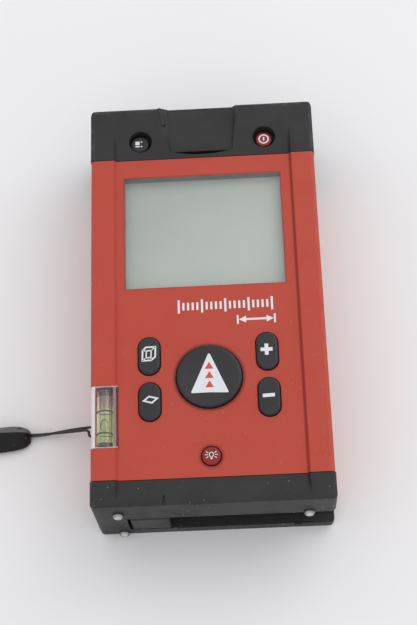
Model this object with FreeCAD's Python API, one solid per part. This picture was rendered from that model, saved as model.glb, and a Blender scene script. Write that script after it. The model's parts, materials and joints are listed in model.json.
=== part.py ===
import FreeCAD, Part
import math
import os

# Laser distance meter with a hand strap. Millimetres. +X is to the right of the keypad, +Y points
# to the laser end, +Z comes up out of the keypad. The origin is on the ground under the middle.

V = FreeCAD.Vector

# ---------------------------------------------------------------- driving dimensions
HALF_WIDTH = 32.5            # red middle part of the housing
CAP_HALF_WIDTH = 32.7        # dark end caps
TOP_Y = 61.6                 # laser end
BOTTOM_Y = -60.0             # measuring end
HEIGHT = 28.0                # to the top of the side rails
PANEL_Z = 27.2               # sunk middle panel between the rails
WALL = 2.0                   # housing wall
TOP_CORNER = 2.4             # corners of the laser end, seen from the front
BOTTOM_CORNER = 1.3          # corners of the measuring end, seen from the front
SIDE_EDGES = (2.2, 1.1)      # rounding along the sides, at the rear and at the front
TOP_EDGES = (0.8, 1.4)       # rounding of the laser end, at the rear and at the front
BOTTOM_EDGES = (0.5, 0.8)    # rounding of the measuring end, at the rear and at the front
SPLIT_Z = 13.0               # where the front and rear shells meet
JOINT_GAP = 0.2              # open line between housing pieces
TOP_JOINT_Y = 44.25          # line between the red shells and the top cap
BOTTOM_JOINT_Y = -52.7       # line between the red shells and the bottom cap
TONGUE = 1.0                 # length of the caps' tongues inside the shells
SEAL = 0.9                   # thickness of the rubber seals against the tongues
FIT = 0.05                   # clearance of fitted but fixed pieces
RUNNING = 0.05               # radial clearance on a turning pin
OUT = 40.0                   # beyond the housing on every side, for shapes that only cut
OVER = 1.0                   # how far a cut runs past the face it opens

LEFT_RAIL_X = -25.8          # inner edge of the left rail
RIGHT_RAIL_X = 25.2          # inner edge of the right rail
RAIL_SLOPE = 0.7             # width of the sloping step beside a rail
RECESS_FADE = ((-58.0, HEIGHT), (-54.4, PANEL_Z), (45.5, PANEL_Z), (54.0, HEIGHT))

WINDOW = (-22.9, 22.3, 3.1, 38.3)        # display opening: x from, x to, y from, y to
WINDOW_RIM = 0.25                        # rim of the display frame outside the opening
LCD_Z = 24.2                             # display surface
BOARD_Z = 17.4                           # underside of the main board
BOARD_THICK = 1.6

BOARD_EDGE = (-23.6, 23.6, -49.3, 55.0)  # x and y limits of the main board
BOARD_CORNER = 1.5
CHIPS = ((-20.5, -8.0, 9.0, 9.0), (14.6, 2.0, 7.0, 5.0), (14.6, -12.0, 6.0, 8.0), (-20.0, 8.0, 5.0, 4.0))
CHIP_THICK = 1.4
BEEPER = (19.0, -24.0, 4.0, 2.2, 0.8)    # x, y, radius, thickness and sound hole radius

KEY_TRAVEL = 0.6
KEY_GAP = 0.25                           # clearance round a key in its hole
KEY_PROUD = (1.1, 0.8, 0.6)              # how far the measure, pill and light keys stand up from the panel
KEY_FLANGE = 0.9                         # how far a key's flange stands out under the wall
FLANGE_THICK = 1.1
MEASURE_KEY = (0.0, -24.3, 9.0)          # x, y, radius
LIGHT_KEY = (-0.1, -46.9, 2.6)
REFERENCE_KEY = (-18.3, 50.1, 2.75)
POWER_KEY = (18.2, 49.9, 2.5)
PILL_KEYS = {"volume_key": (-16.35, -17.55), "area_key": (-16.35, -30.85),
             "plus_key": (16.1, -17.55), "minus_key": (16.1, -30.85)}
PILL_WIDTH = 6.0
PILL_LENGTH = 11.05
WELLS = ((-17.95, 50.15), (18.3, 50.0))  # round wells that two keys sit in, in the top cap
WELL_RADIUS = 3.35
WELL_FLOOR_Z = 24.9
CAP_KEY_TOP_Z = 26.4

VIAL = (-32.3, -25.0, -43.6, -26.0, 21.5, HEIGHT)     # clear block: x, y and z limits
VIAL_AXIS = (-28.85, 25.0)                            # x and z of the glass tube
VIAL_RADIUS = 2.15
VIAL_MARKS_Y = (-32.7, -39.0)

SLOT_Z = (4.3, 15.4)                     # slot across the bottom end
SLOT_LEFT_X = -24.0
SLOT_BACK_Y = -50.5
# Notches in the end face: x from, x to, y that they reach in to, z from, z to.
LIP_NOTCHES = ((23.4, 40.0, -57.0, 3.7, 5.3), (21.6, 23.4, -59.0, 3.1, 5.3),
               (-13.3, -12.7, -57.4, 27.5, 29.0))
PIVOT = (-18.0, -55.3)                   # x and y of the end piece's upright pin
PIVOT_RADIUS = 1.2
POCKET_RADIUS = 7.4                      # room that the knuckle turns in
KNUCKLE = (-23.3, -12.6, -60.0, -51.0, 4.6, 14.0)
BAR = (-12.7, 28.0, -57.2, -51.3, 5.2, 13.6)
STOP_RADIUS = 1.5
STOPS = ((-25.8, 21.0), (-25.8, 2.6), (25.4, 17.0))   # x and z of the stop pins
STOP_TIP_Y = -61.5
STOP_DOME = 1.1                          # rounding of a stop pin's tip
STOP_ROOT_Y = -55.5                      # how deep the stop pins sit in the cap
PIN_Z = (2.6, 16.9)                      # ends of the end piece's pin

CELL_RADIUS = 5.2
CELL_LENGTH = 44.5                       # over the positive nub
CELL_X = 5.6
CELL_Z = 7.4
CELL_START_Y = -43.0
NUB = (1.9, 0.9)                         # radius and height of a cell's positive nub
BAY = (-11.6, 11.6, -45.2, 2.6, 0.0, 12.9)
BAY_WALL = 1.2
HINGE_Y = 4.6                            # battery cover hinge
HINGE_Z = 1.5
HINGE_BARREL = 1.35
HINGE_PIN = 0.6
COVER_Z = (0.15, 1.75)

COVER_RELIEF = 3.9                       # half width of the gap in the cover for the housing's hinge lug
COVER_GROOVES_Y = (-42.0, -40.4, -38.8)

CHANNEL_FLOOR = ((-10.2, 61.9), (-9.8, 55.0), (-9.1, 46.6), (8.8, 46.6), (9.2, 52.3), (9.6, 61.9))
CHANNEL_RIM = ((-13.75, 61.9), (-12.4, 55.6), (-9.5, 46.3), (9.1, 46.3), (9.7, 53.0), (11.45, 61.9))
CHANNEL_Z = (26.55, 26.3)                # floor of the sighting channel, near the display and far from it
CHANNEL_LIP = (58.7, 25.8)               # where the floor starts to dip, and how low the dip ends
GLANCE_SLOT = ((-9.0, 46.5), (-0.1, 45.45), (8.8, 46.5))   # crescent slot at the channel's near end
RIDGE = ((-12.3, 60.5, 27.2), (-11.5, 55.5, 26.8), 1.05)   # small ridge on the channel's left bank

OPTIC_Z = 10.0
LASER_X = -14.0
RECEIVER_X = 3.0
PANE = (-20.0, 12.0, 60.3, 61.2, 4.2, 15.8)           # seat of the front pane, open to the end
CARRIER = (-21.0, 11.6, 28.0, 57.4, 3.4, 16.8)        # block that holds the optics
DETECTOR = (-5.0, 11.0, 24.8, 26.2, 3.0, 16.4)        # small upright board
LASER_BARREL = (4.1, 34.0, 51.0)                      # radius, y from, y to
LASER_COLLAR = (3.2, 31.0, 34.5)
LASER_BORE = (2.2, 40.0, 52.0)
RECEIVER_SEAT = (6.3, 52.0)                           # radius and depth of the receiving lens's seat
LASER_PORT = 3.5                                      # radius of the laser's opening in the cap
RECEIVER_PORT = 5.7                                   # radius of the receiver's opening in the cap

SCREW_SEAT_Z = 1.6                       # where the housing screws' heads sit in the back
SCREW_HEAD = (2.3, 1.2)                  # radius and height of a housing screw's head
HOUSING_SCREWS = ((-27.0, 34.0), (27.0, 34.0), (-27.0, -18.0), (27.0, -18.0))
SCREW_SHANK = 1.1
SCREW_TOP_Z = 21.0                       # how far up the housing screws' holes go
BOSS_RADIUS = 2.5
BOARD_SCREWS = ((-20.0, 24.0), (20.0, 30.0), (-20.0, -38.5), (20.0, -38.5))
BOARD_POST = (2.0, 0.9)                  # radius of a board post and of its screw hole
BUSH = (0.0, 14.5, 2.6, 4.4, 7.0)        # tripod bush: x, y, thread radius, outer radius, length

RATING_PLATE = (-18.0, 18.0, 22.0, 40.0, 0.12, 0.4)   # thin plate let into the back
PLATE_CORNER = 1.2

STRAP_BAR = (-30.9, -31.1, 0.8)          # x, y and radius of the bar the strap is looped round
EYELET = (-33.0, -27.8, -34.6, -27.6, 3.4, 9.6)
CORD_DIAMETER = 0.8
LOOP_DIAMETER = 3.2
# Cross-sections of the ferrule: x, y of the middle, half width and half height.
FERRULE = ((-52.9, -31.3, 1.9, 1.5), (-53.3, -31.3, 2.4, 1.9), (-54.1, -31.25, 2.9, 2.15),
           (-55.4, -31.2, 3.3, 2.3), (-57.6, -31.2, 3.6, 2.4), (-70.0, -32.2, 3.75, 2.4),
           (-72.0, -32.35, 3.6, 2.3))

# Middle line of the thin cord: out of the ferrule, round the bar in the eyelet and back.
CORD_ROUTE = ((-52.9, -30.15, 0.75), (-49.4, -30.15, 0.75), (-45.2, -29.5, 1.2), (-41.0, -29.45, 2.8),
              (-37.2, -29.85, 5.0), (-33.4, -30.0, 6.2), (-29.6, -29.85, 6.5), (-29.6, -32.45, 6.5),
              (-32.2, -33.1, 6.5), (-35.5, -33.2, 6.5), (-35.5, -30.95, 6.4), (-38.2, -30.6, 5.0),
              (-42.4, -30.2, 2.95), (-46.2, -30.0, 1.95), (-49.6, -30.15, 1.65), (-52.9, -30.15, 1.65))

# Middle line of the hand loop, out of the ferrule and back into it.
LOOP_ROUTE = ((-72.0, -30.55, 1.9), (-80.0, -30.55, 1.9), (-92.5, -21.5, 1.62), (-104.0, -6.5, 1.62),
              (-122.0, 1.0, 1.62), (-141.0, -0.5, 1.62), (-157.0, -11.0, 1.62), (-166.0, -28.0, 1.62),
              (-163.0, -47.0, 1.62), (-149.5, -60.5, 1.62), (-130.5, -65.5, 1.62),
              (-111.0, -62.0, 1.62), (-94.0, -49.5, 1.62), (-82.5, -34.15, 1.9), (-72.0, -34.15, 1.9))


# ---------------------------------------------------------------- helpers
def box(x0, x1, y0, y1, z0, z1):
    """Block between the given limits."""
    return Part.makeBox(x1 - x0, y1 - y0, z1 - z0, V(x0, y0, z0))


def rod(radius, start, end):
    """Round rod between two points."""
    line = V(*end) - V(*start)
    return Part.makeCylinder(radius, line.Length, V(*start), line)


def upright(x, y, radius, z0, z1):
    """Round rod standing along Z."""
    return rod(radius, (x, y, z0), (x, y, z1))


def prism(points, direction):
    """Solid of the closed outline through the points, pushed along the direction."""
    outline = [V(*point) for point in points]
    return Part.Face(Part.makePolygon(outline + [outline[0]])).extrude(V(*direction))


def rounded_prism(corners, radii, direction):
    """Solid of the outline through the corners, each rounded by its radius, pushed along the direction."""
    points = [V(*corner) for corner in corners]
    edges = []
    ends = []
    for i, corner in enumerate(points):
        back = (points[i - 1] - corner).normalize()
        ahead = (points[(i + 1) % len(points)] - corner).normalize()
        half = back.getAngle(ahead) / 2
        reach = radii[i] / math.tan(half)
        middle = (back + ahead).normalize() * (radii[i] / math.sin(half) - radii[i])
        start, end = corner + back * reach, corner + ahead * reach
        edges.append(Part.Arc(start, corner + middle, end).toShape())
        ends.append((start, end))
    sides = [Part.makeLine(ends[i - 1][1], ends[i][0]) for i in range(len(points))]
    outline = [edge for pair in zip(sides, edges) for edge in pair]
    return Part.Face(Part.Wire(outline)).extrude(V(*direction))


def ring(outer, inner):
    """What is left of the first solid around the second."""
    return outer.cut(inner)


def fused(shapes):
    """All the shapes as one clean solid."""
    return shapes[0].multiFuse(list(shapes[1:])).removeSplitter()


def edges_at(shape, test):
    """The edges whose every vertex passes the test."""
    return [edge for edge in shape.Edges if all(test(vertex.Point) for vertex in edge.Vertexes)]


def edges_along(shape, length):
    """The edges of exactly the given length."""
    return [edge for edge in shape.Edges if abs(edge.Length - length) < 0.01]


def stadium(x, y, width, length, z0, z1):
    """Upright solid with two straight sides and two round ends along Y."""
    radius = width / 2
    half = length / 2 - radius
    corners = [V(x + radius, y - half, z0), V(x + radius, y + half, z0),
               V(x - radius, y + half, z0), V(x - radius, y - half, z0)]
    edges = [Part.makeLine(corners[0], corners[1]),
             Part.Arc(corners[1], V(x, y + half + radius, z0), corners[2]).toShape(),
             Part.makeLine(corners[2], corners[3]),
             Part.Arc(corners[3], V(x, y - half - radius, z0), corners[0]).toShape()]
    return Part.Face(Part.Wire(edges)).extrude(V(0, 0, z1 - z0))


def plan_form(half_width, inset, z0, z1):
    """Upright solid of the housing's outline, moved inwards by the inset."""
    side = half_width - inset
    low, high = BOTTOM_Y + inset, TOP_Y - inset
    corners = [(-side, low, z0), (side, low, z0), (side, high, z0), (-side, high, z0)]
    bottom, top = (max(radius - inset, 0.6) for radius in (BOTTOM_CORNER, TOP_CORNER))
    return rounded_prism(corners, (bottom, bottom, top, top), (0, 0, z1 - z0))


def panel_recess():
    """The shallow hollow between the two rails, fading out inside the end caps."""
    above = HEIGHT + 1.0
    section = [(LEFT_RAIL_X - RAIL_SLOPE, BOTTOM_Y, above), (LEFT_RAIL_X, BOTTOM_Y, HEIGHT),
               (LEFT_RAIL_X + RAIL_SLOPE, BOTTOM_Y, PANEL_Z), (RIGHT_RAIL_X, BOTTOM_Y, PANEL_Z),
               (RIGHT_RAIL_X + RAIL_SLOPE, BOTTOM_Y, HEIGHT),
               (RIGHT_RAIL_X + 2 * RAIL_SLOPE, BOTTOM_Y, above)]
    across = prism(section, (0, TOP_Y - BOTTOM_Y, 0))
    start, floor_start, floor_end, end = RECESS_FADE
    side = [(-HALF_WIDTH, start[0], above), (-HALF_WIDTH, start[0], start[1]),
            (-HALF_WIDTH, floor_start[0], floor_start[1]), (-HALF_WIDTH, floor_end[0], floor_end[1]),
            (-HALF_WIDTH, end[0], end[1]), (-HALF_WIDTH, end[0], above)]
    along = prism(side, (2 * HALF_WIDTH, 0, 0))
    return across.common(along)


def housing_form(half_width):
    """The whole outside of the instrument at the given half width, with its rails."""
    across = rounded_prism([(-half_width, BOTTOM_Y, 0), (half_width, BOTTOM_Y, 0),
                            (half_width, BOTTOM_Y, HEIGHT), (-half_width, BOTTOM_Y, HEIGHT)],
                           (SIDE_EDGES[0], SIDE_EDGES[0], SIDE_EDGES[1], SIDE_EDGES[1]),
                           (0, TOP_Y - BOTTOM_Y, 0))
    along = rounded_prism([(-half_width, BOTTOM_Y, 0), (-half_width, TOP_Y, 0),
                           (-half_width, TOP_Y, HEIGHT), (-half_width, BOTTOM_Y, HEIGHT)],
                          (BOTTOM_EDGES[0], TOP_EDGES[0], TOP_EDGES[1], BOTTOM_EDGES[1]),
                          (2 * half_width, 0, 0))
    return plan_form(half_width, 0.0, 0.0, HEIGHT).common(across).common(along).cut(panel_recess())


def inner_ring(y0, y1):
    """Flat frame that fills the housing's inside edge between two Y values."""
    side = HALF_WIDTH - WALL - FIT
    outer = box(-side, side, y0, y1, WALL + FIT, PANEL_Z - WALL - FIT)
    return ring(outer, box(-side + 1.2, side - 1.2, y0, y1, WALL + 1.3, PANEL_Z - WALL - 1.3))


# ---------------------------------------------------------------- housing
def front_shell():
    """Red front half with the display opening, key holes and the hollow for the level."""
    y0 = BOTTOM_JOINT_Y + JOINT_GAP / 2
    y1 = TOP_JOINT_Y - JOINT_GAP / 2
    bottom = SPLIT_Z + JOINT_GAP / 2
    shell = housing_form(HALF_WIDTH).common(box(-OUT, OUT, y0, y1, bottom, HEIGHT + OVER))
    shell = shell.cut(plan_form(HALF_WIDTH, WALL, 0, PANEL_Z - WALL))
    ceiling = PANEL_Z - WALL
    extras = [upright(x, y, BOSS_RADIUS, bottom, ceiling + 0.5) for x, y in HOUSING_SCREWS]
    extras.append(box(-HALF_WIDTH + 1, VIAL[1] + 0.4, VIAL[2] - 0.6, VIAL[3] + 0.6, VIAL[4] - 1.2, VIAL[4]))
    shell = fused([shell] + extras)
    cuts = [upright(x, y, SCREW_SHANK, 0, SCREW_TOP_Z) for x, y in HOUSING_SCREWS]
    cuts.append(box(VIAL[0] - 3, VIAL[1] + FIT, VIAL[2] - FIT, VIAL[3] + FIT, VIAL[4], HEIGHT + OVER))
    cuts.append(box(WINDOW[0] - WINDOW_RIM, WINDOW[1] + WINDOW_RIM, WINDOW[2] - WINDOW_RIM,
                    WINDOW[3] + WINDOW_RIM, ceiling - OVER, HEIGHT + OVER))
    for x, y, radius in (MEASURE_KEY, LIGHT_KEY):
        cuts.append(upright(x, y, radius + KEY_GAP, ceiling - OVER, HEIGHT + OVER))
    for x, y in PILL_KEYS.values():
        cuts.append(stadium(x, y, PILL_WIDTH + 2 * KEY_GAP, PILL_LENGTH + 2 * KEY_GAP,
                            ceiling - OVER, HEIGHT + OVER))
    return shell.cut(cuts)


def rear_shell():
    """Red rear half with the battery bay, screw bosses, board posts and the strap eyelet."""
    y0 = BOTTOM_JOINT_Y + JOINT_GAP / 2
    y1 = TOP_JOINT_Y - JOINT_GAP / 2
    top = SPLIT_Z - JOINT_GAP / 2
    shell = housing_form(HALF_WIDTH).common(box(-OUT, OUT, y0, y1, 0, top))
    shell = shell.cut(plan_form(HALF_WIDTH, WALL, WALL, HEIGHT))
    side = HALF_WIDTH - WALL
    extras = []
    for sign in (-1, 1):
        inner, outer = sorted((sign * (side - 0.9), sign * side))
        extras.append(box(inner, outer, -44.0, 40.0, SPLIT_Z - 4, SPLIT_Z + 1.5))
    extras += [upright(x, y, BOSS_RADIUS, 1.0, top) for x, y in HOUSING_SCREWS]
    extras += [upright(x, y, BOARD_POST[0], 1.0, BOARD_Z) for x, y in BOARD_SCREWS]
    extras.append(box(BAY[0] - BAY_WALL, BAY[1] + BAY_WALL, BAY[2] - BAY_WALL + 0.3, HINGE_Y + 2.8,
                      1.0, BAY[5] + BAY_WALL))
    extras.append(upright(BUSH[0], BUSH[1], BUSH[3] + 1.6, 1.0, BUSH[4] + 1.6))
    extras.append(box(-side - 0.5, EYELET[1] + 1.0, EYELET[2] - 1.0, EYELET[3] + 1.0, 1.0, EYELET[5] + 1.0))
    shell = fused([shell] + extras)
    cuts = [upright(x, y, SCREW_SHANK + 0.2, -OVER, top + OVER) for x, y in HOUSING_SCREWS]
    cuts += [upright(x, y, SCREW_HEAD[0] + 0.2, -OVER, SCREW_SEAT_Z) for x, y in HOUSING_SCREWS]
    cuts += [upright(x, y, BOARD_POST[1], 9.0, BOARD_Z + OVER) for x, y in BOARD_SCREWS]
    cuts.append(box(BAY[0], BAY[1], BAY[2], BAY[3], -OVER, BAY[5]))
    cuts.append(box(BAY[0], BAY[1], BAY[3] - 1, HINGE_Y + HINGE_BARREL + 0.25, -OVER, 3.4))
    cuts.append(upright(BUSH[0], BUSH[1], BUSH[3], -OVER, BUSH[4] + 0.2))
    cuts.append(box(*EYELET))
    cuts.append(upright(STRAP_BAR[0], STRAP_BAR[1], STRAP_BAR[2], 2.4, EYELET[5] + 0.8))
    x0, x1, y0, y1, _, z1 = RATING_PLATE
    cuts.append(box(x0 - 0.1, x1 + 0.1, y0 - 0.1, y1 + 0.1, -OVER, z1))
    shell = shell.cut(cuts)
    lug = box(-3.6, 3.6, HINGE_Y - 1.2, HINGE_Y + 2, COVER_Z[0], HINGE_Z + HINGE_BARREL)
    pin_hole = rod(HINGE_PIN, (-5, HINGE_Y, HINGE_Z), (5, HINGE_Y, HINGE_Z))
    return fused([shell, lug]).cut(pin_hole)


def sight_channel():
    """The shallow channel down the middle of the top cap, with sloping banks and a dipping lip."""
    wires = []
    near_y, far_y = CHANNEL_FLOOR[2][1], CHANNEL_FLOOR[0][1]
    for outline, near_z, far_z in ((CHANNEL_FLOOR, *CHANNEL_Z), (CHANNEL_RIM, HEIGHT + 0.2, HEIGHT + 0.2)):
        slope = (far_z - near_z) / (far_y - near_y)
        points = [V(x, y, near_z + slope * (y - near_y)) for x, y in outline]
        wires.append(Part.makePolygon(points + [points[0]]))
    lip_y, lip_z = CHANNEL_LIP
    left, right = CHANNEL_FLOOR[0][0] + 0.2, CHANNEL_FLOOR[-1][0] - 0.2
    dip = prism([(left, lip_y, CHANNEL_Z[1] + 0.05), (left, TOP_Y + 1, lip_z), (left, TOP_Y + 1, HEIGHT),
                 (left, lip_y, HEIGHT)], (right - left, 0, 0))
    return [Part.makeLoft(wires, True, True), dip]


def glance_slot():
    """Crescent slot that closes the near end of the channel."""
    start, middle, end = (V(x, y, WELL_FLOOR_Z) for x, y in GLANCE_SLOT)
    outline = Part.Wire([Part.Arc(start, middle, end).toShape(), Part.makeLine(end, start)])
    return Part.Face(outline).extrude(V(0, 0, HEIGHT - WELL_FLOOR_Z))


def ridge():
    """Small ridge with a round end on the channel's left bank."""
    far, near, radius = RIDGE
    return fused([Part.makeSphere(radius, V(*far)), rod(radius, far, near)])


def top_cap():
    """Dark cap over the laser end, with two key wells, the sighting channel and the optics window."""
    y0 = TOP_JOINT_Y + JOINT_GAP / 2
    form = housing_form(CAP_HALF_WIDTH).common(box(-OUT, OUT, y0, TOP_Y + OVER, -OVER, HEIGHT + OVER))
    inside = plan_form(CAP_HALF_WIDTH, WALL + 0.4, WALL + 0.1, 24.8)
    cap = form.cut(inside.common(box(-OUT, OUT, y0 - OVER, 58.4, 0, HEIGHT))).cut(sight_channel())
    guides = [upright(x, y, radius + 2.0, 23.4, 26.0) for x, y, radius in (REFERENCE_KEY, POWER_KEY)]
    tongue = inner_ring(y0 - TONGUE - JOINT_GAP, y0 + 0.6)
    cap = fused([cap, tongue, ridge()] + guides)
    cuts = [upright(x, y, WELL_RADIUS, WELL_FLOOR_Z, HEIGHT + OVER) for x, y in WELLS]
    cuts += [upright(x, y, radius + KEY_GAP, 20.0, HEIGHT) for x, y, radius in (REFERENCE_KEY, POWER_KEY)]
    cuts += [glance_slot(), box(PANE[0], PANE[1], PANE[2], TOP_Y + OVER, PANE[4], PANE[5])]
    cuts.append(rod(LASER_PORT, (LASER_X, 57, OPTIC_Z), (LASER_X, TOP_Y, OPTIC_Z)))
    cuts.append(rod(RECEIVER_PORT, (RECEIVER_X, 57, OPTIC_Z), (RECEIVER_X, TOP_Y, OPTIC_Z)))
    return cap.cut(cuts)


def bottom_cap():
    """Dark cap over the lower end, with the slot that the end piece folds into."""
    y1 = BOTTOM_JOINT_Y - JOINT_GAP / 2
    end = BOTTOM_Y - OVER
    form = housing_form(CAP_HALF_WIDTH).common(box(-OUT, OUT, end, y1, -OVER, HEIGHT + OVER))
    side = HALF_WIDTH - WALL - FIT
    plug = box(-side, side, y1 - 1, -46.7, WALL + 0.1, 16.9)
    cap = fused([form, plug, inner_ring(y1 - 0.6, y1 + TONGUE + JOINT_GAP)])
    cuts = [box(-21.5, 21.5, -57.8, -46, 17.6, PANEL_Z - WALL - 1.3)]
    cuts.append(box(SLOT_LEFT_X, OUT, end, SLOT_BACK_Y, *SLOT_Z))
    cuts.append(upright(PIVOT[0], PIVOT[1], POCKET_RADIUS, *SLOT_Z))
    cuts.append(upright(PIVOT[0], PIVOT[1], PIVOT_RADIUS, PIN_Z[0], PIN_Z[1] + 1.1))
    cuts.append(box(-8.0, 26.0, -49.3, -46, 4.0, 15.4))
    cuts += [box(x0, x1, end, y, z0, z1) for x0, x1, y, z0, z1 in LIP_NOTCHES]
    cuts += [rod(STOP_RADIUS, (x, end, z), (x, STOP_ROOT_Y, z)) for x, z in STOPS]
    return cap.cut(cuts)


def bottom_seal():
    """Rubber seal against the bottom cap's tongue, over the block that the slot is in."""
    start = BOTTOM_JOINT_Y + TONGUE + 0.2
    return inner_ring(start, start + SEAL).cut(box(-OUT, OUT, start - OVER, start + 2 * OVER, 0, 17.0))


# ---------------------------------------------------------------- display and electronics
def display_window():
    """Clear pane glued into the display frame."""
    x0, x1, y0, y1 = WINDOW
    return box(x0 + FIT, x1 - FIT, y0 + FIT, y1 - FIT, PANEL_Z - 1.1, PANEL_Z - 0.15)


def lcd_frame():
    """Dark frame that lines the display opening down to the display."""
    grow = WINDOW_RIM - FIT
    outer = box(WINDOW[0] - grow, WINDOW[1] + grow, WINDOW[2] - grow, WINDOW[3] + grow, LCD_Z, PANEL_Z - FIT)
    return ring(outer, box(*WINDOW, LCD_Z - OVER, PANEL_Z + OVER))


def lcd_panel():
    """Liquid crystal display."""
    return box(WINDOW[0] - 0.7, WINDOW[1] + 0.7, WINDOW[2] - 1.2, WINDOW[3] + 0.8, LCD_Z - 1.8, LCD_Z)


def lcd_backlight():
    """Light guide behind the display."""
    guide = box(WINDOW[0], WINDOW[1], WINDOW[2] + 1.4, WINDOW[3] - 1.4, LCD_Z - 3.8, LCD_Z - 1.8)
    return guide.makeChamfer(0.3, edges_at(guide, lambda p: p.z < LCD_Z - 3.7))


def lcd_connectors():
    """Two striped rubber connectors between the display and the board."""
    top = BOARD_Z + BOARD_THICK
    strips = [box(-21.0, 21.0, y, y + 1.8, top, LCD_Z - 1.8) for y in (WINDOW[2] - 0.9, WINDOW[3] - 1.1)]
    return Part.makeCompound(strips)


def main_board():
    """Main circuit board with its screw holes."""
    top = BOARD_Z + BOARD_THICK
    board = box(*BOARD_EDGE, BOARD_Z, top)
    board = board.makeFillet(BOARD_CORNER, edges_along(board, BOARD_THICK))
    hole = BOARD_POST[1] + 0.15
    return board.cut([upright(x, y, hole, BOARD_Z - OVER, top + OVER) for x, y in BOARD_SCREWS])


def key_places():
    """Every key's place on the board and the size of its dome."""
    places = [(MEASURE_KEY[0], MEASURE_KEY[1], 4.2), (LIGHT_KEY[0], LIGHT_KEY[1] + 0.4, 1.7),
              (REFERENCE_KEY[0], REFERENCE_KEY[1], 2.2), (POWER_KEY[0], POWER_KEY[1], 2.2)]
    return places + [(x, y, 2.6) for x, y in PILL_KEYS.values()]


def key_domes():
    """Snap domes under the keys, each a low cone on the board."""
    top = BOARD_Z + BOARD_THICK
    domes = [Part.makeCone(r, 0.45 * r, 0.7, V(x, y, top)) for x, y, r in key_places()]
    return Part.makeCompound(domes)


def board_chips():
    """Processor, memory and power parts on the underside of the board."""
    chips = [box(x, x + w, y, y + d, BOARD_Z - CHIP_THICK, BOARD_Z) for x, y, w, d in CHIPS]
    return Part.makeCompound(chips)


def beeper():
    """Round piezo sounder under the board."""
    x, y, radius, thick, hole = BEEPER
    can = upright(x, y, radius, BOARD_Z - thick, BOARD_Z)
    return can.cut(upright(x, y, hole, BOARD_Z - thick - OVER, BOARD_Z - thick + 1.0))


def screw(x, y, head_z, head_radius, head_height, shank_radius, length, drive_radius):
    """Cross-head screw; a negative head height puts the head below the shank."""
    step = -1 if head_height < 0 else 1
    z_low, z_high = sorted((head_z, head_z + head_height))
    head = upright(x, y, head_radius, z_low, z_high)
    outer_z = head_z + head_height
    head = head.makeFillet(0.3, edges_at(head, lambda p: abs(p.z - outer_z) < 0.01))
    z_low, z_high = sorted((head_z, head_z - step * length))
    body = fused([head, upright(x, y, shank_radius, z_low, z_high)])
    z_low, z_high = sorted((outer_z + step, outer_z - step * 0.6))
    arm = drive_radius * 0.3
    cross = [box(x - drive_radius, x + drive_radius, y - arm, y + arm, z_low, z_high),
             box(x - arm, x + arm, y - drive_radius, y + drive_radius, z_low, z_high)]
    return body.cut(cross)


def housing_screws():
    """Four screws that hold the two shells together from the back."""
    radius, height = SCREW_HEAD
    screws = [screw(x, y, SCREW_SEAT_Z, radius, -height, SCREW_SHANK, 16.6, 1.3) for x, y in HOUSING_SCREWS]
    return Part.makeCompound(screws)


def board_screws():
    """Four screws that hold the board on its posts."""
    top = BOARD_Z + BOARD_THICK
    screws = [screw(x, y, top, 1.7, 1.1, 0.9, 7.0, 0.9) for x, y in BOARD_SCREWS]
    return Part.makeCompound(screws)


# ---------------------------------------------------------------- keys
def key(cap, flange, stem_radius, x, y, flange_top):
    """A key: its visible cap, the flange that keeps it in and the stem over its dome."""
    stem = upright(x, y, stem_radius, BOARD_Z + BOARD_THICK + 0.7 + KEY_TRAVEL + 0.3, flange_top - 0.2)
    return fused([cap, flange, stem])


def round_key(x, y, radius, top_z, flange_top, bevel, stem_radius):
    """Round key with a bevelled rim."""
    cap = upright(x, y, radius, flange_top - 0.2, top_z)
    cap = cap.makeFillet(bevel, edges_at(cap, lambda p: p.z > top_z - 0.01))
    flange = upright(x, y, radius + KEY_FLANGE, flange_top - FLANGE_THICK, flange_top)
    return key(cap, flange, stem_radius, x, y, flange_top)


def measure_key():
    """Large measuring key, with a bevel round a slightly sunk face."""
    x, y, radius = MEASURE_KEY
    flange_top = PANEL_Z - WALL - 0.2
    top_z = PANEL_Z + KEY_PROUD[0]
    shape = round_key(x, y, radius, top_z, flange_top, 0.8, 3.0)
    dish = Part.makeSphere(90.0, V(x, y, top_z - 0.35 + 90.0))
    return shape.cut(dish)


def pill_key(name):
    """Key with two straight sides and round ends."""
    x, y = PILL_KEYS[name]
    flange_top = PANEL_Z - WALL - 0.2
    top_z = PANEL_Z + KEY_PROUD[1]
    cap = stadium(x, y, PILL_WIDTH, PILL_LENGTH, flange_top - 0.2, top_z)
    cap = cap.makeFillet(0.7, edges_at(cap, lambda p: p.z > top_z - 0.01))
    flange = stadium(x, y, PILL_WIDTH + 2 * KEY_FLANGE, PILL_LENGTH + 2 * KEY_FLANGE,
                     flange_top - FLANGE_THICK, flange_top)
    return key(cap, flange, 1.6, x, y, flange_top)


def light_key():
    """Small round display-light key."""
    x, y, radius = LIGHT_KEY
    flange_top = PANEL_Z - WALL - 0.2
    top_z = PANEL_Z + KEY_PROUD[2]
    cap = upright(x, y, radius, flange_top - 0.2, top_z)
    cap = cap.makeFillet(0.6, edges_at(cap, lambda p: p.z > top_z - 0.01))
    flange = upright(x, y, radius + 0.4, flange_top - FLANGE_THICK, flange_top)
    return key(cap, flange, 1.2, x, y, flange_top)


def cap_key(place):
    """Small round key sunk in a well of the top cap."""
    x, y, radius = place
    return round_key(x, y, radius, CAP_KEY_TOP_Z, 23.2, 0.6, 1.2)


# ---------------------------------------------------------------- spirit level
def vial_block():
    """Clear block that fills the end of the left rail round the level's tube."""
    x0, x1, y0, y1, z0, z1 = VIAL
    block = box(*VIAL)
    block = block.makeFillet(0.7, edges_at(block, lambda p: p.z > z1 - 0.01 and p.x < x0 + 0.01))
    axis_x, axis_z = VIAL_AXIS
    return block.cut(rod(VIAL_RADIUS + 0.1, (axis_x, y0 + 0.7, axis_z), (axis_x, y1 - 0.6, axis_z)))


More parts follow.
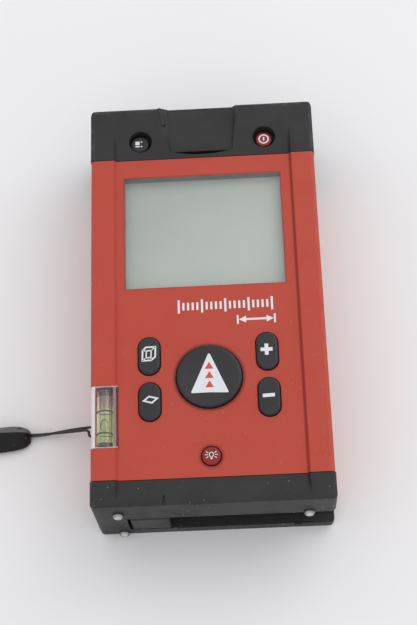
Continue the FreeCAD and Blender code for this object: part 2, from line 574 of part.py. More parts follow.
def vial_tube():
    """Glass tube of the level."""
    axis_x, axis_z = VIAL_AXIS
    start, end = (axis_x, VIAL[2] + 0.8, axis_z), (axis_x, VIAL[3] - 0.7, axis_z)
    return ring(rod(VIAL_RADIUS, start, end), rod(VIAL_RADIUS - 0.35, start, end))


def vial_plugs():
    """Dark plugs that close the two ends of the tube."""
    axis_x, axis_z = VIAL_AXIS
    radius = VIAL_RADIUS - 0.35
    ends = ((VIAL[2] + 0.8, VIAL[2] + 2.0), (VIAL[3] - 2.2, VIAL[3] - 0.7))
    return Part.makeCompound([rod(radius, (axis_x, a, axis_z), (axis_x, b, axis_z)) for a, b in ends])


def vial_liquid():
    """Liquid between the plugs."""
    axis_x, axis_z = VIAL_AXIS
    return rod(VIAL_RADIUS - 0.4, (axis_x, VIAL[2] + 2.0, axis_z), (axis_x, VIAL[3] - 2.2, axis_z))


def vial_rings():
    """Two dark rings round the tube that mark the middle of the level."""
    axis_x, axis_z = VIAL_AXIS
    rings = []
    for y in VIAL_MARKS_Y:
        start, end = (axis_x, y - 0.2, axis_z), (axis_x, y + 0.2, axis_z)
        rings.append(ring(rod(VIAL_RADIUS + 0.08, start, end), rod(VIAL_RADIUS, start, end)))
    return Part.makeCompound(rings)


# ---------------------------------------------------------------- bottom end
def end_piece():
    """Fold-out measuring bar with its square knuckle, bored for the upright pin."""
    knuckle = box(*KNUCKLE)
    bar = box(*BAR)
    bar = bar.makeFillet(1.2, edges_at(bar, lambda p: p.x > BAR[1] - 0.01))
    grip = rod(1.2, (BAR[1] - 6.0, BAR[2] - 0.6, BAR[4] - 1), (BAR[1] - 6.0, BAR[2] - 0.6, BAR[5] + 1))
    shape = fused([knuckle, bar])
    shape = shape.makeChamfer(0.35, edges_at(shape, lambda p: p.y < KNUCKLE[2] + 0.01))
    bore = upright(PIVOT[0], PIVOT[1], PIVOT_RADIUS + RUNNING, 0, 20)
    return shape.cut([bore, grip])


def end_piece_pin():
    """Upright steel pin that the end piece turns on."""
    return upright(PIVOT[0], PIVOT[1], PIVOT_RADIUS, *PIN_Z)


def stop_pins():
    """Three domed steel stops that the instrument is set against a wall with."""
    pins = []
    for x, z in STOPS:
        pin = rod(STOP_RADIUS, (x, STOP_TIP_Y, z), (x, STOP_ROOT_Y, z))
        pins.append(pin.makeFillet(STOP_DOME, edges_at(pin, lambda p: p.y < STOP_TIP_Y + 0.01)))
    return Part.makeCompound(pins)


# ---------------------------------------------------------------- power
def battery_cells():
    """Two small round cells, laid opposite ways round."""
    cells = []
    for sign in (-1, 1):
        x = sign * CELL_X
        y0, y1 = CELL_START_Y, CELL_START_Y + CELL_LENGTH - NUB[1]
        nub = (y1, y1 + NUB[1])
        if sign < 0:
            y0, y1 = y0 + NUB[1], y1 + NUB[1]
            nub = (y0 - NUB[1], y0)
        can = rod(CELL_RADIUS, (x, y0, CELL_Z), (x, y1, CELL_Z))
        rims = [edge for edge in can.Edges if edge.Length > 30 and len(edge.Vertexes) == 1]
        can = can.makeFillet(0.5, rims)
        cells.append(fused([can, rod(NUB[0], (x, nub[0], CELL_Z), (x, nub[1], CELL_Z))]))
    return Part.makeCompound(cells)


def battery_contacts():
    """Plates and coned springs at the two ends of the bay."""
    pieces = []
    for sign in (-1, 1):
        x = sign * CELL_X
        for low in (True, False):
            plate_y = BAY[2] + 0.1 if low else BAY[3] - 0.5
            pieces.append(box(x - 4.5, x + 4.5, plate_y, plate_y + 0.4, 3.4, 11.6))
    link = box(-CELL_X, CELL_X, BAY[2] + 0.1, BAY[2] + 0.5, 10.0, 11.6)
    low_plate = fused([pieces[0], pieces[2], link])
    spring_low = Part.makeCone(3.4, 2.2, 1.3, V(CELL_X, BAY[2] + 0.5, CELL_Z), V(0, 1, 0))
    spring_high = Part.makeCone(2.6, 2.2, 0.55, V(-CELL_X, BAY[3] - 0.5, CELL_Z), V(0, -1, 0))
    return Part.makeCompound([low_plate, pieces[1], pieces[3], spring_low, spring_high])


def battery_cover():
    """Rear door with two hinge barrels, a catch and a finger groove."""
    plate = box(BAY[0] + 0.1, BAY[1] - 0.1, BAY[2] + 0.15, HINGE_Y, *COVER_Z)
    plate = plate.cut(box(-COVER_RELIEF, COVER_RELIEF, HINGE_Y - 2.2, HINGE_Y + OVER, -OVER, 3))
    barrels = [rod(HINGE_BARREL, (x0, HINGE_Y, HINGE_Z), (x1, HINGE_Y, HINGE_Z))
               for x0, x1 in ((BAY[0] + 0.1, -COVER_RELIEF), (COVER_RELIEF, BAY[1] - 0.1))]
    catch = box(-3.0, 3.0, BAY[2] + 0.6, BAY[2] + 1.4, 1.0, 3.0)
    cover = fused([plate, catch] + barrels)
    bore = rod(HINGE_PIN + RUNNING, (-15, HINGE_Y, HINGE_Z), (15, HINGE_Y, HINGE_Z))
    grooves = [box(-5.0, 5.0, y, y + 0.8, -OVER, 0.55) for y in COVER_GROOVES_Y]
    return cover.cut([bore] + grooves)


def battery_cover_pin():
    """Hinge pin of the battery cover."""
    return rod(HINGE_PIN, (BAY[0] + 0.6, HINGE_Y, HINGE_Z), (BAY[1] - 0.6, HINGE_Y, HINGE_Z))


# ---------------------------------------------------------------- optics
def optics_carrier():
    """Block that holds the laser and the receiving lens in line."""
    block = box(*CARRIER)
    seat_radius, seat_y = RECEIVER_SEAT
    cuts = [rod(LASER_BARREL[0], (LASER_X, 30.0, OPTIC_Z), (LASER_X, 58, OPTIC_Z)),
            rod(seat_radius, (RECEIVER_X, seat_y, OPTIC_Z), (RECEIVER_X, 58, OPTIC_Z)),
            Part.makeCone(1.8, 5.8, 24.4, V(RECEIVER_X, 27.8, OPTIC_Z), V(0, 1, 0)),
            rod(1.6, (LASER_X, 27, OPTIC_Z), (LASER_X, 31, OPTIC_Z))]
    return block.cut(cuts)


def laser_module():
    """Brass barrel of the red laser diode."""
    barrel, collar, bore = (rod(radius, (LASER_X, y0, OPTIC_Z), (LASER_X, y1, OPTIC_Z))
                            for radius, y0, y1 in (LASER_BARREL, LASER_COLLAR, LASER_BORE))
    return fused([barrel, collar]).cut(bore)


def lens(x, y, radius, thickness, bulge):
    """Lens on the optical height, flat at the back and bulging towards +Y."""
    crown = y + thickness + bulge
    ball = (radius * radius + bulge * bulge) / (2 * bulge)
    middle = V(x + radius / 2, crown - ball + math.sqrt(ball * ball - radius * radius / 4), OPTIC_Z)
    corners = [V(x, y, OPTIC_Z), V(x + radius, y, OPTIC_Z), V(x + radius, y + thickness, OPTIC_Z),
               V(x, crown, OPTIC_Z)]
    edges = [Part.makeLine(corners[0], corners[1]),
             Part.makeLine(corners[1], corners[2]),
             Part.Arc(corners[2], middle, corners[3]).toShape(),
             Part.makeLine(corners[3], corners[0])]
    return Part.Face(Part.Wire(edges)).revolve(corners[0], V(0, 1, 0), 360)


def front_window():
    """Clear pane over the laser and receiver openings."""
    x0, x1, y0, y1, z0, z1 = PANE
    pane = box(x0 + FIT, x1 - FIT, y0, y1, z0 + FIT, z1 - FIT)
    return pane.makeFillet(0.2, edges_at(pane, lambda p: p.y > y1 - 0.01))


def detector_board():
    """Small upright board with the light detector."""
    board = box(*DETECTOR)
    return fused([board, rod(1.5, (RECEIVER_X, 26.0, OPTIC_Z), (RECEIVER_X, 27.6, OPTIC_Z))])


# ---------------------------------------------------------------- rear fittings and strap
def tripod_bush():
    """Brass bush for a tripod screw."""
    x, y, thread, outer, length = BUSH
    bush = upright(x, y, outer, 0.2, length)
    bush = bush.makeChamfer(0.4, edges_at(bush, lambda p: p.z < 0.21))
    return bush.cut(upright(x, y, thread, -OVER, length + OVER))


def rating_plate():
    """Thin blank plate let into the back."""
    plate = box(*RATING_PLATE)
    return plate.makeFillet(PLATE_CORNER, edges_along(plate, RATING_PLATE[5] - RATING_PLATE[4]))


def strap_bar():
    """Steel bar across the eyelet."""
    return upright(STRAP_BAR[0], STRAP_BAR[1], STRAP_BAR[2], 2.4, EYELET[5] + 0.8)


def cord_tube(name, route, diameter):
    """Tube along straight runs joined by tangent arcs; prints its length and its arc radii."""
    points = [V(*point) for point in route]
    edges = []
    radii = []
    start = points[0]
    for before, corner, after in zip(points, points[1:], points[2:]):
        run_in = corner - before
        run_out = after - corner
        turn = run_in.getAngle(run_out)
        reach = 0.45 * min(run_in.Length, run_out.Length)
        radii.append(reach / math.tan(turn / 2))
        run_in.normalize()
        run_out.normalize()
        arc_start = corner - run_in * reach
        arc_end = corner + run_out * reach
        inward = run_out - run_in
        inward.normalize()
        sag = radii[-1] / math.cos(turn / 2) - radii[-1]
        edges.append(Part.LineSegment(start, arc_start).toShape())
        edges.append(Part.Arc(arc_start, corner + inward * sag, arc_end).toShape())
        start = arc_end
    edges.append(Part.LineSegment(start, points[-1]).toShape())
    path = Part.Wire(edges)
    first = points[1] - points[0]
    section = Part.Wire(Part.makeCircle(diameter / 2, points[0], first))
    tube = path.makePipeShell([section], True, False)
    expected = math.pi * diameter * diameter / 4 * path.Length
    print(name, "length", round(path.Length, 2), "volume / expected", round(tube.Volume / expected, 4))
    print(name, "arc radii", [round(radius, 1) for radius in radii])
    return tube


def strap_ferrule():
    """Tapered sleeve that joins the thin cord to the hand loop."""
    wires = []
    for x, y, half_wide, half_high in FERRULE:
        wire = Part.Wire(Part.Ellipse(V(0, 0, 0), half_wide, half_high).toShape())
        wire.Placement = FreeCAD.Placement(V(x, y, half_high + 0.02),
                                           FreeCAD.Rotation(V(0, 1, 0), V(0, 0, 1), V(1, 0, 0)))
        wires.append(wire)
    return Part.makeLoft(wires, True, True)


# ---------------------------------------------------------------- assembly
def build_nodes():
    """Every piece of the instrument by its name."""
    nodes = {
        "front_shell": front_shell(),
        "rear_shell": rear_shell(),
        "top_cap": top_cap(),
        "bottom_cap": bottom_cap(),
        "top_seal": inner_ring(TOP_JOINT_Y - TONGUE - SEAL - 0.2, TOP_JOINT_Y - TONGUE - 0.2),
        "bottom_seal": bottom_seal(),
        "display_window": display_window(),
        "lcd_frame": lcd_frame(),
        "lcd_panel": lcd_panel(),
        "lcd_backlight": lcd_backlight(),
        "lcd_connectors": lcd_connectors(),
        "main_board": main_board(),
        "key_domes": key_domes(),
        "board_chips": board_chips(),
        "beeper": beeper(),
        "board_screws": board_screws(),
        "housing_screws": housing_screws(),
        "measure_key": measure_key(),
        "light_key": light_key(),
        "reference_key": cap_key(REFERENCE_KEY),
        "power_key": cap_key(POWER_KEY),
        "vial_block": vial_block(),
        "vial_tube": vial_tube(),
        "vial_plugs": vial_plugs(),
        "vial_liquid": vial_liquid(),
        "vial_rings": vial_rings(),
        "end_piece": end_piece(),
        "end_piece_pin": end_piece_pin(),
        "stop_pins": stop_pins(),
        "battery_cells": battery_cells(),
        "battery_contacts": battery_contacts(),
        "battery_cover": battery_cover(),
        "battery_cover_pin": battery_cover_pin(),
        "optics_carrier": optics_carrier(),
        "laser_module": laser_module(),
        "collimator_lens": lens(LASER_X, 51.2, 4.0, 1.2, 0.7),
        "receiver_lens": lens(RECEIVER_X, 52.4, 6.2, 1.8, 1.5),
        "detector_board": detector_board(),
        "front_window": front_window(),
        "tripod_bush": tripod_bush(),
        "rating_plate": rating_plate(),
        "strap_bar": strap_bar(),
        "strap_cord": cord_tube("strap_cord", CORD_ROUTE, CORD_DIAMETER),
        "strap_ferrule": strap_ferrule(),
        "hand_loop": cord_tube("hand_loop", LOOP_ROUTE, LOOP_DIAMETER),
    }
    for name in PILL_KEYS:
        nodes[name] = pill_key(name)
    return nodes


os.makedirs("parts", exist_ok=True)
for node_name, node_shape in build_nodes().items():
    node_shape.exportStep("parts/" + node_name + ".step")
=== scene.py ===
"""Looks of a handheld laser distance meter with a thin cord and a braided hand loop.

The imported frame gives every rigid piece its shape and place. This script dresses those pieces,
prints the key symbols, makes the strap, the level's liquid and the small repeated details, and
sets up a plain studio. Lengths in the dataclass fields are in millimetres unless they say otherwise.
"""
import json
import logging
import math
from dataclasses import dataclass, field
from enum import Enum
from typing import Callable, Iterable, Sequence

import bmesh
import bpy
from mathutils import Matrix, Vector
from mathutils.bvhtree import BVHTree

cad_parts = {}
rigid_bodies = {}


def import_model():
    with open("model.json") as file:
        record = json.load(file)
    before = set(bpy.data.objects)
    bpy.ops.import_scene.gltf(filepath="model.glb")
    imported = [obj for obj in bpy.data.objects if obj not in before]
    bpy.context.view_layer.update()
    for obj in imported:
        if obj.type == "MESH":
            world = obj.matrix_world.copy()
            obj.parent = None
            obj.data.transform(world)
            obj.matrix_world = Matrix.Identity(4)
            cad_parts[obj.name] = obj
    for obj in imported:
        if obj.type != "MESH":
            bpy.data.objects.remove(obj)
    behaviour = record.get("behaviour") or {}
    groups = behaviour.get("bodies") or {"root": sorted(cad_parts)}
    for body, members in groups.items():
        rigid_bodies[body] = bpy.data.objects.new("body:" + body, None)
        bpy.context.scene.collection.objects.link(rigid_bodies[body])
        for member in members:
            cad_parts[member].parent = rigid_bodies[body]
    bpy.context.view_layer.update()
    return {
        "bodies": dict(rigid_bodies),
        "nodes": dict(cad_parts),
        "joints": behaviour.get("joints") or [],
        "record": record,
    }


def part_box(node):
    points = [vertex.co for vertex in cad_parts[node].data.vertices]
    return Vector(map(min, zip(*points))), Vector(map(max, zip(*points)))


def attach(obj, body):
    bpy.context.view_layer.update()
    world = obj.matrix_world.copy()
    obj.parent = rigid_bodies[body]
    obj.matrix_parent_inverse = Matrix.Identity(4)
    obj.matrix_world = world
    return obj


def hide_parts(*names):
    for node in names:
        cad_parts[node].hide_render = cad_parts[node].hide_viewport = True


MM = 0.001
HOUSING = "housing"
LOOK = "_look"                     # ends the name of every material made here
HOUSING_HALF = (32.7, 61.0, 14.1)  # half sizes of the housing's worn outline, in millimetres
DUST = (0.55, 0.53, 0.48)
LOG = logging.getLogger("distance_meter")

Colour = tuple[float, float, float]
Point2 = tuple[float, float]
Point3 = tuple[float, float, float]


# ------------------------------------------------------------------------------ material helpers
class Tree:
    """A node tree, with short ways to add nodes and join them."""

    def __init__(self, tree: bpy.types.NodeTree) -> None:
        """Takes the tree that the nodes go in."""
        self.nodes = tree.nodes
        self.links = tree.links

    def feed(self, node: bpy.types.Node, **inputs: object) -> None:
        """Joins a node's inputs to outputs, or sets their values.

        Args:
            node: the node.
            **inputs: values or output sockets, by input name with spaces as underscores.
        """
        for name, value in inputs.items():
            self.join(node.inputs[name.replace("_", " ")], value)

    def join(self, socket: bpy.types.NodeSocket, value: object) -> None:
        """Joins a socket to an output, or sets its value."""
        if isinstance(value, bpy.types.NodeSocket):
            self.links.new(value, socket)
        else:
            socket.default_value = value

    def add(self, kind: str, **inputs: object) -> bpy.types.Node:
        """Adds a node of a kind, feeds its inputs and returns it."""
        node = self.nodes.new(kind)
        self.feed(node, **inputs)
        return node

    def math(self, operation: str, *values: object) -> bpy.types.NodeSocket:
        """Adds a Math node and returns its output."""
        node = self.nodes.new("ShaderNodeMath")
        node.operation = operation
        for socket, value in zip(node.inputs, values):
            self.join(socket, value)
        return node.outputs[0]

    def times(self, first: object, second: object) -> bpy.types.NodeSocket:
        """The product of two values."""
        return self.math("MULTIPLY", first, second)


class Graph(Tree):
    """A material's node tree: masks, colours and bump in the piece's own coordinates."""

    def __init__(self, name: str) -> None:
        """Starts a material of the given name with a Principled shader."""
        self.material = bpy.data.materials.new(name + LOOK)
        self.material.use_nodes = True
        super().__init__(self.material.node_tree)
        self.shader = self.nodes["Principled BSDF"]
        self.place = self.add("ShaderNodeTexCoord").outputs["Object"]

    def coat(self, **inputs: object) -> bpy.types.Material:
        """Feeds the shader's inputs and returns the material."""
        self.feed(self.shader, **inputs)
        return self.material

    def axes(self) -> bpy.types.bpy_prop_collection:
        """The place split into its X, Y and Z."""
        return self.add("ShaderNodeSeparateXYZ", Vector=self.place).outputs

    def noise(self, size_mm: float, detail: float = 3.0, vector: object = None) -> bpy.types.NodeSocket:
        """Adds noise whose features are about size_mm wide, and returns its factor."""
        return self.add("ShaderNodeTexNoise", Scale=1.0 / (size_mm * MM), Detail=detail,
                        Vector=vector or self.place).outputs["Fac"]

    def vary(self, value: object, swing: float, base: float) -> bpy.types.NodeSocket:
        """A base value plus a swing times another value; a number stands for noise of that size."""
        return self.math("MULTIPLY_ADD", self.noise(value) if isinstance(value, float) else value, swing, base)

    def ramp(self, value: object, low: float, high: float) -> bpy.types.NodeSocket:
        """Maps low..high to 0..1, smoothly and clamped."""
        node = self.add("ShaderNodeMapRange", Value=value, From_Min=low, From_Max=high)
        node.interpolation_type = "SMOOTHSTEP"
        return node.outputs["Result"]

    def mix(self, factor: object, first: object, second: object) -> bpy.types.NodeSocket:
        """Mixes two colours and returns the result."""
        node = self.nodes.new("ShaderNodeMix")
        node.data_type = "RGBA"
        sockets = [s for s in node.inputs if s.enabled]
        for socket, value in zip(sockets, (factor, first, second)):
            self.join(socket, (*value, 1.0) if isinstance(value, tuple) else value)
        return next(s for s in node.outputs if s.enabled)

    def bump(self, height: object, depth_mm: float, under: object = None) -> bpy.types.NodeSocket:
        """Adds bump of the given depth and returns its normal."""
        below = {} if under is None else {"Normal": under}
        return self.add("ShaderNodeBump", Distance=depth_mm * MM, Height=height, **below).outputs["Normal"]

    def specks(self, spacing_mm: float, size: float, share: float) -> bpy.types.NodeSocket:
        """Mask of scattered dust: one speck in a share of the cells, each a part of its cell wide."""
        cells = self.add("ShaderNodeTexVoronoi", Scale=1.0 / (spacing_mm * MM), Vector=self.place).outputs
        draw = self.add("ShaderNodeSeparateColor", Color=cells["Color"]).outputs
        near = self.math("LESS_THAN", cells["Distance"], self.times(draw["Green"], size))
        return self.times(self.math("LESS_THAN", draw["Red"], share), near)

    def halo(self, x: float, y: float, radius: float, width: float, axes: str = "XY") -> bpy.types.NodeSocket:
        """Mask that is 1 at a circle's edge and fades out over the width outside it."""
        place = self.axes()
        off = [self.math("SUBTRACT", place[axis], middle * MM) for axis, middle in zip(axes, (x, y))]
        away = self.math("SQRT", self.math("ADD", *(self.times(o, o) for o in off)))
        return self.math("SUBTRACT", 1.0, self.ramp(away, radius * MM, (radius + width) * MM))

    def stripe(self, axis: str, low: float, high: float, soft: float) -> bpy.types.NodeSocket:
        """Mask of the slab between two values of an axis, fading out over the soft width."""
        value = self.axes()[axis]
        fall = self.math("SUBTRACT", 1.0, self.ramp(value, high * MM, (high + soft) * MM))
        return self.times(self.ramp(value, (low - soft) * MM, low * MM), fall)

    def rim(self, half: Point3, centre_z: float, width: float) -> bpy.types.NodeSocket:
        """Mask of the outer edges of a box-like body.

        Args:
            half: the body's half sizes.
            centre_z: height of its middle.
            width: how far in from the edge the mask reaches.

        Returns:
            A factor that is 1 at the edges and 0 on the faces.
        """
        place = self.axes()
        near = []
        for axis, size, middle in zip("XYZ", half, (0.0, 0.0, centre_z)):
            off = self.math("ABSOLUTE", self.math("SUBTRACT", place[axis], middle * MM))
            near.append(self.ramp(off, (size - width) * MM, size * MM))
        pairs = [self.times(near[a], near[b]) for a, b in ((0, 1), (0, 2), (1, 2))]
        return self.math("MAXIMUM", self.math("MAXIMUM", pairs[0], pairs[1]), pairs[2])


# ------------------------------------------------------------------------------ finishes
@dataclass(frozen=True)
class MouldedPlastic:
    """Fine-grained moulded plastic or rubber with slight mottling, smudges, edge wear and dust, plus painted shade
    and highlight in bands and rings.
    """

    name: str
    colour: Colour
    tone: Colour
    roughness: float = 0.48
    grain: float = 0.28
    grain_depth: float = 0.012
    wear: float = 0.0
    wear_colour: Colour = (0.2, 0.2, 0.19)
    dust: float = 0.0
    specular: float = 0.5
    # Bands as axis, low, high and strength, mixed towards the band colour below: painted shade at the rail steps of
    # the housing and caps, a painted highlight on the ferrule's upward face, and on the display bezel the housing's
    # own red on its rim.
    creases: tuple[tuple[str, float, float, float], ...] = ()
    crease_run: tuple[float, float] = (-55.5, 49.5)
    front_z: float = 22.0
    dusty: tuple[float, float] = (-70.0, -30.0)
    # Rings as x, y, radius and strength: painted shade round the keys' holes.
    shade_rings: tuple[tuple[float, float, float, float], ...] = ()
    # Colour of the bands and rings: painted shade on the housing and caps, painted highlight on the ferrule, the
    # housing's red on the bezel's rim.
    shading_and_rim_colour: Colour = (0.15, 0.012, 0.009)

    def make(self) -> bpy.types.Material:
        """Builds the material."""
        g = Graph(self.name)
        colour = g.mix(g.ramp(g.noise(14.0), 0.35, 0.68), self.colour, self.tone)
        if self.wear > 0.0:
            edge = g.times(g.rim(HOUSING_HALF, HOUSING_HALF[2], 1.7), g.ramp(g.noise(2.2, 5.0), 0.42, 0.66))
            colour = g.mix(g.times(edge, self.wear), colour, self.wear_colour)
        front = g.stripe("Z", self.front_z, 40.0, 2.0)
        run = g.times(g.stripe("Y", *self.crease_run, 2.0), front)
        # Painted shade and highlight in bands, above the front height and along the run in Y.
        for axis, low, high, strength in self.creases:
            line = g.times(g.stripe(axis, low, high, 0.35), run)
            colour = g.mix(g.times(line, strength), colour, self.shading_and_rim_colour)
        # Painted shade in rings round the keys, on the front only.
        for x, y, radius, strength in self.shade_rings:
            glow = g.times(g.halo(x, y, radius, 1.1), front)
            colour = g.mix(g.times(glow, strength), colour, self.shading_and_rim_colour)
        if self.dust > 0.0:
            dirt = g.math("MAXIMUM", g.specks(1.5, 0.14, 0.5), g.specks(0.9, 0.13, 0.3))
            share = g.times(g.stripe("Y", *self.dusty, 70.0), self.dust)
            colour = g.mix(g.times(dirt, share), colour, DUST)
        smudge = g.ramp(g.noise(7.0, 4.0), 0.4, 0.75)
        fine = g.bump(g.noise(self.grain, 2.0), self.grain_depth)
        return g.coat(Base_Color=colour, Roughness=g.vary(smudge, 0.1, self.roughness - 0.05),
                      Specular_IOR_Level=self.specular, Normal=g.bump(g.noise(9.0, 1.0), 0.02, fine))


@dataclass(frozen=True)
class SatinMetal:
    """Plated or turned metal with fine brushing along one axis and faint tarnish."""

    name: str
    colour: Colour
    roughness: float = 0.3
    brush: Point3 = (1.0, 1.0, 12.0)
    tips: tuple[tuple[float, float, float], ...] = ()

    def make(self) -> bpy.types.Material:
        """Builds the material; the pin ends are given as places in X and Z, and radii: away from the middle of each
        end the metal is darkened to about a third, as painted shade of the holes round the pins.
        """
        g = Graph(self.name)
        turned = g.add("ShaderNodeMapping", Vector=g.place, Scale=self.brush)
        lines = g.noise(0.6, 4.0, turned.outputs["Vector"])
        dull = g.ramp(g.noise(2.4, 3.0), 0.45, 0.75)
        dark = tuple(c * 0.62 for c in self.colour)
        colour = g.mix(g.times(dull, 0.5), self.colour, dark)
        if self.tips:
            bright = 0.0
            for x, z, radius in self.tips:
                bright = g.math("MAXIMUM", bright, g.halo(x, z, radius * 0.4, radius * 0.5, "XZ"))
            # Painted shade: all but the middles of the pin ends goes darker.
            colour = g.mix(bright, tuple(c * 0.35 for c in self.colour), colour)
        return g.coat(Base_Color=colour, Metallic=1.0, Roughness=g.vary(lines, 0.16, self.roughness - 0.08),
                      Normal=g.bump(lines, 0.004))


@dataclass(frozen=True)
class ClearMoulding:
    """Glass or liquid that bends what is seen through it."""

    name: str
    tint: Colour = (0.97, 0.98, 0.97)
    tone: Colour = (0.93, 0.95, 0.93)
    ior: float = 1.49
    ripple: float = 0.004

    def make(self) -> bpy.types.Material:
        """Builds the material."""
        g = Graph(self.name)
        return g.coat(Base_Color=g.mix(g.noise(5.0), self.tint, self.tone), Transmission_Weight=1.0, IOR=self.ior,
                      Roughness=g.vary(3.0, 0.02, 0.0), Normal=g.bump(g.noise(2.5, 1.0), self.ripple))


@dataclass(frozen=True)
class ThinClear:
    """Clear plastic that lets light straight through, with streaky pale bands of painted highlight and reflection
    on its front along its edges.
    """

    name: str
    veil: Colour
    cover: float
    # Bands as axis, low, high, soft width and strength: painted highlight and reflection, where the pale veil
    # covers more.
    bands: tuple[tuple[str, float, float, float, float], ...] = ()
    front_z: float = 27.5

    def make(self) -> bpy.types.Material:
        """Builds the material."""
        g = Graph(self.name)
        front = g.stripe("Z", self.front_z, self.front_z + 5.0, 0.5)
        cover = g.vary(4.0, 0.05, self.cover - 0.02)
        # Painted highlight and reflection: the veil grows more opaque in streaky bands on the front.
        for axis, low, high, soft, strength in self.bands:
            glint_streaks = g.times(g.vary(g.noise(1.4, 4.0), 0.3, 0.85), strength)
            cover = g.math("MAXIMUM", cover, g.times(g.times(g.stripe(axis, low, high, soft), glint_streaks), front))
        return g.coat(Base_Color=g.mix(g.noise(2.0), self.veil, tuple(c * 0.94 for c in self.veil)),
                      Alpha=cover, Roughness=g.vary(3.0, 0.05, 0.06))


@dataclass(frozen=True)
class PrintInk:
    """Screen-printed ink, a little uneven and worn thin in places."""

    name: str
    colour: Colour
    worn: Colour

    def make(self) -> bpy.types.Material:
        """Builds the material."""
        g = Graph(self.name)
        thin = g.ramp(g.noise(0.5, 5.0), 0.6, 0.78)
        return g.coat(Base_Color=g.mix(thin, self.colour, self.worn), Roughness=g.vary(0.4, 0.12, 0.42),
                      Normal=g.bump(g.noise(0.3, 2.0), 0.006))


@dataclass(frozen=True)
class DisplayFace:
    """Blank liquid crystal face: grey-green with a faint dot grid, and painted light across it, darker towards the
    top left and lighter towards the bottom right.
    """

    name: str
    dark: Colour
    light: Colour
    dot: float = 0.42

    def make(self) -> bpy.types.Material:
        """Builds the material."""
        g = Graph(self.name)
        place = g.axes()
        # Painted light: a cloudy gradient from the dark colour at the top left to the light one at the bottom
        # right.
        painted_light_slope = g.math("SUBTRACT", g.times(place["X"], 0.75), place["Y"])
        cloud = g.vary(g.noise(16.0, 2.0), 0.012, painted_light_slope)
        colour = g.mix(g.ramp(cloud, -0.045, 0.008), self.dark, self.light)
        waves = [g.math("SINE", g.times(place[axis], math.tau / (self.dot * MM))) for axis in "XY"]
        grid = g.ramp(g.math("MAXIMUM", waves[0], waves[1]), 0.93, 1.0)
        shaded = g.mix(g.times(grid, 0.05), colour, tuple(c * 0.6 for c in self.dark))
        return g.coat(Base_Color=shaded, Roughness=g.vary(8.0, 0.12, 0.3))


@dataclass(frozen=True)
class BraidedFibre:
    """Black braided cord. The weave follows the piece's own UV map, in turns and millimetres."""

    name: str
    colour: Colour
    sheen_colour: Colour
    threads: int
    pitch: float

    def make(self) -> bpy.types.Material:
        """Builds the material."""
        g = Graph(self.name)
        uv = g.add("ShaderNodeUVMap")
        uv.uv_map = "weave"
        weave = g.add("ShaderNodeSeparateXYZ", Vector=uv.outputs["UV"]).outputs
        around = g.times(weave["X"], math.tau * self.threads)
        along = g.times(weave["Y"], math.tau / self.pitch)
        ways = [g.math("SINE", g.math(how, around, along)) for how in ("ADD", "SUBTRACT")]
        strand = g.math("ABSOLUTE", g.times(*ways))
        # Painted sheen: lighter on the crowns of the strands, broken up by noise.
        worn = g.times(g.ramp(strand, 0.1, 0.9), g.ramp(g.noise(3.0), 0.3, 0.7))
        return g.coat(Base_Color=g.mix(worn, self.colour, self.sheen_colour), Roughness=g.vary(strand, -0.15, 0.72),
                      Sheen_Weight=0.35, Sheen_Roughness=0.4, Normal=g.bump(strand, 0.05))


@dataclass(frozen=True)
class TintedReflector:
    """Back of a level's tube: yellow-green with a painted glow, and mottled reddish brown towards one end as a
    painted reflection of the red housing.
    """

    name: str
    bright: Colour = (0.4, 0.37, 0.05)
    pale: Colour = (0.45, 0.5, 0.27)
    # Reddish brown of the painted reflection of the housing.
    dull: Colour = (0.22, 0.05, 0.035)
    # Where along Y the painted reflection fades into the yellow-green.
    fade: tuple[float, float] = (-32.4, -29.4)
    # Strength of the painted glow: the sleeve gives light though it is no lamp.
    glow: float = 0.6

    def make(self) -> bpy.types.Material:
        """Builds the material."""
        g = Graph(self.name)
        blotch = g.vary(g.noise(1.6, 4.0), 4.0 * MM, g.axes()["Y"])
        # Painted reflection of the red housing, mottled, towards the upper end.
        dull = g.ramp(blotch, (self.fade[0] + 2.0) * MM, (self.fade[1] + 2.0) * MM)
        colour = g.mix(g.ramp(g.noise(2.2, 2.0), 0.45, 0.65), self.bright, self.pale)
        colour = g.mix(dull, colour, self.dull)
        # Painted glow in the sleeve's own colour.
        return g.coat(Base_Color=colour, Emission_Color=colour, Emission_Strength=self.glow,
                      Roughness=g.vary(1.0, 0.2, 0.4))


@dataclass(frozen=True)
class CircuitBoard:
    """Green solder-masked board with copper tracks showing through."""

    name: str
    mask: Colour = (0.012, 0.11, 0.05)
    track: Colour = (0.03, 0.2, 0.08)

    def make(self) -> bpy.types.Material:
        """Builds the material."""
        g = Graph(self.name)
        cells = g.add("ShaderNodeTexVoronoi", Scale=1.0 / (3.2 * MM), Vector=g.place)
        cells.distance = "MANHATTAN"
        lines = g.math("SINE", g.times(cells.outputs["Distance"], 40.0))
        return g.coat(Base_Color=g.mix(g.ramp(lines, 0.2, 0.5), self.mask, self.track),
                      Roughness=g.vary(2.0, 0.2, 0.25), Normal=g.bump(lines, 0.02))


@dataclass(frozen=True)
class CellJacket:
    """Film jacket of a round cell: a dark body, a bright band near one end and bare metal at the ends."""

    name: str
    body: Colour = (0.02, 0.035, 0.09)
    band: Colour = (0.75, 0.42, 0.06)
    start: float = -43.0
    length: float = 44.5

    def make(self) -> bpy.types.Material:
        """Builds the material."""
        g = Graph(self.name)
        place = g.axes()
        right = g.math("GREATER_THAN", place["X"], 0.0)
        up = g.math("SUBTRACT", place["Y"], self.start * MM)
        down = g.math("SUBTRACT", self.length * MM, up)
        gap = g.math("ADD", g.times(right, down), g.times(g.math("SUBTRACT", 1.0, right), up))
        colour = g.mix(g.math("LESS_THAN", gap, 13.0 * MM), self.body, self.band)
        bare = g.math("LESS_THAN", g.math("MINIMUM", up, down), 1.4 * MM)
        colour = g.mix(bare, colour, (0.6, 0.6, 0.58))
        return g.coat(Base_Color=colour, Metallic=bare, Roughness=g.vary(4.0, 0.15, 0.22))


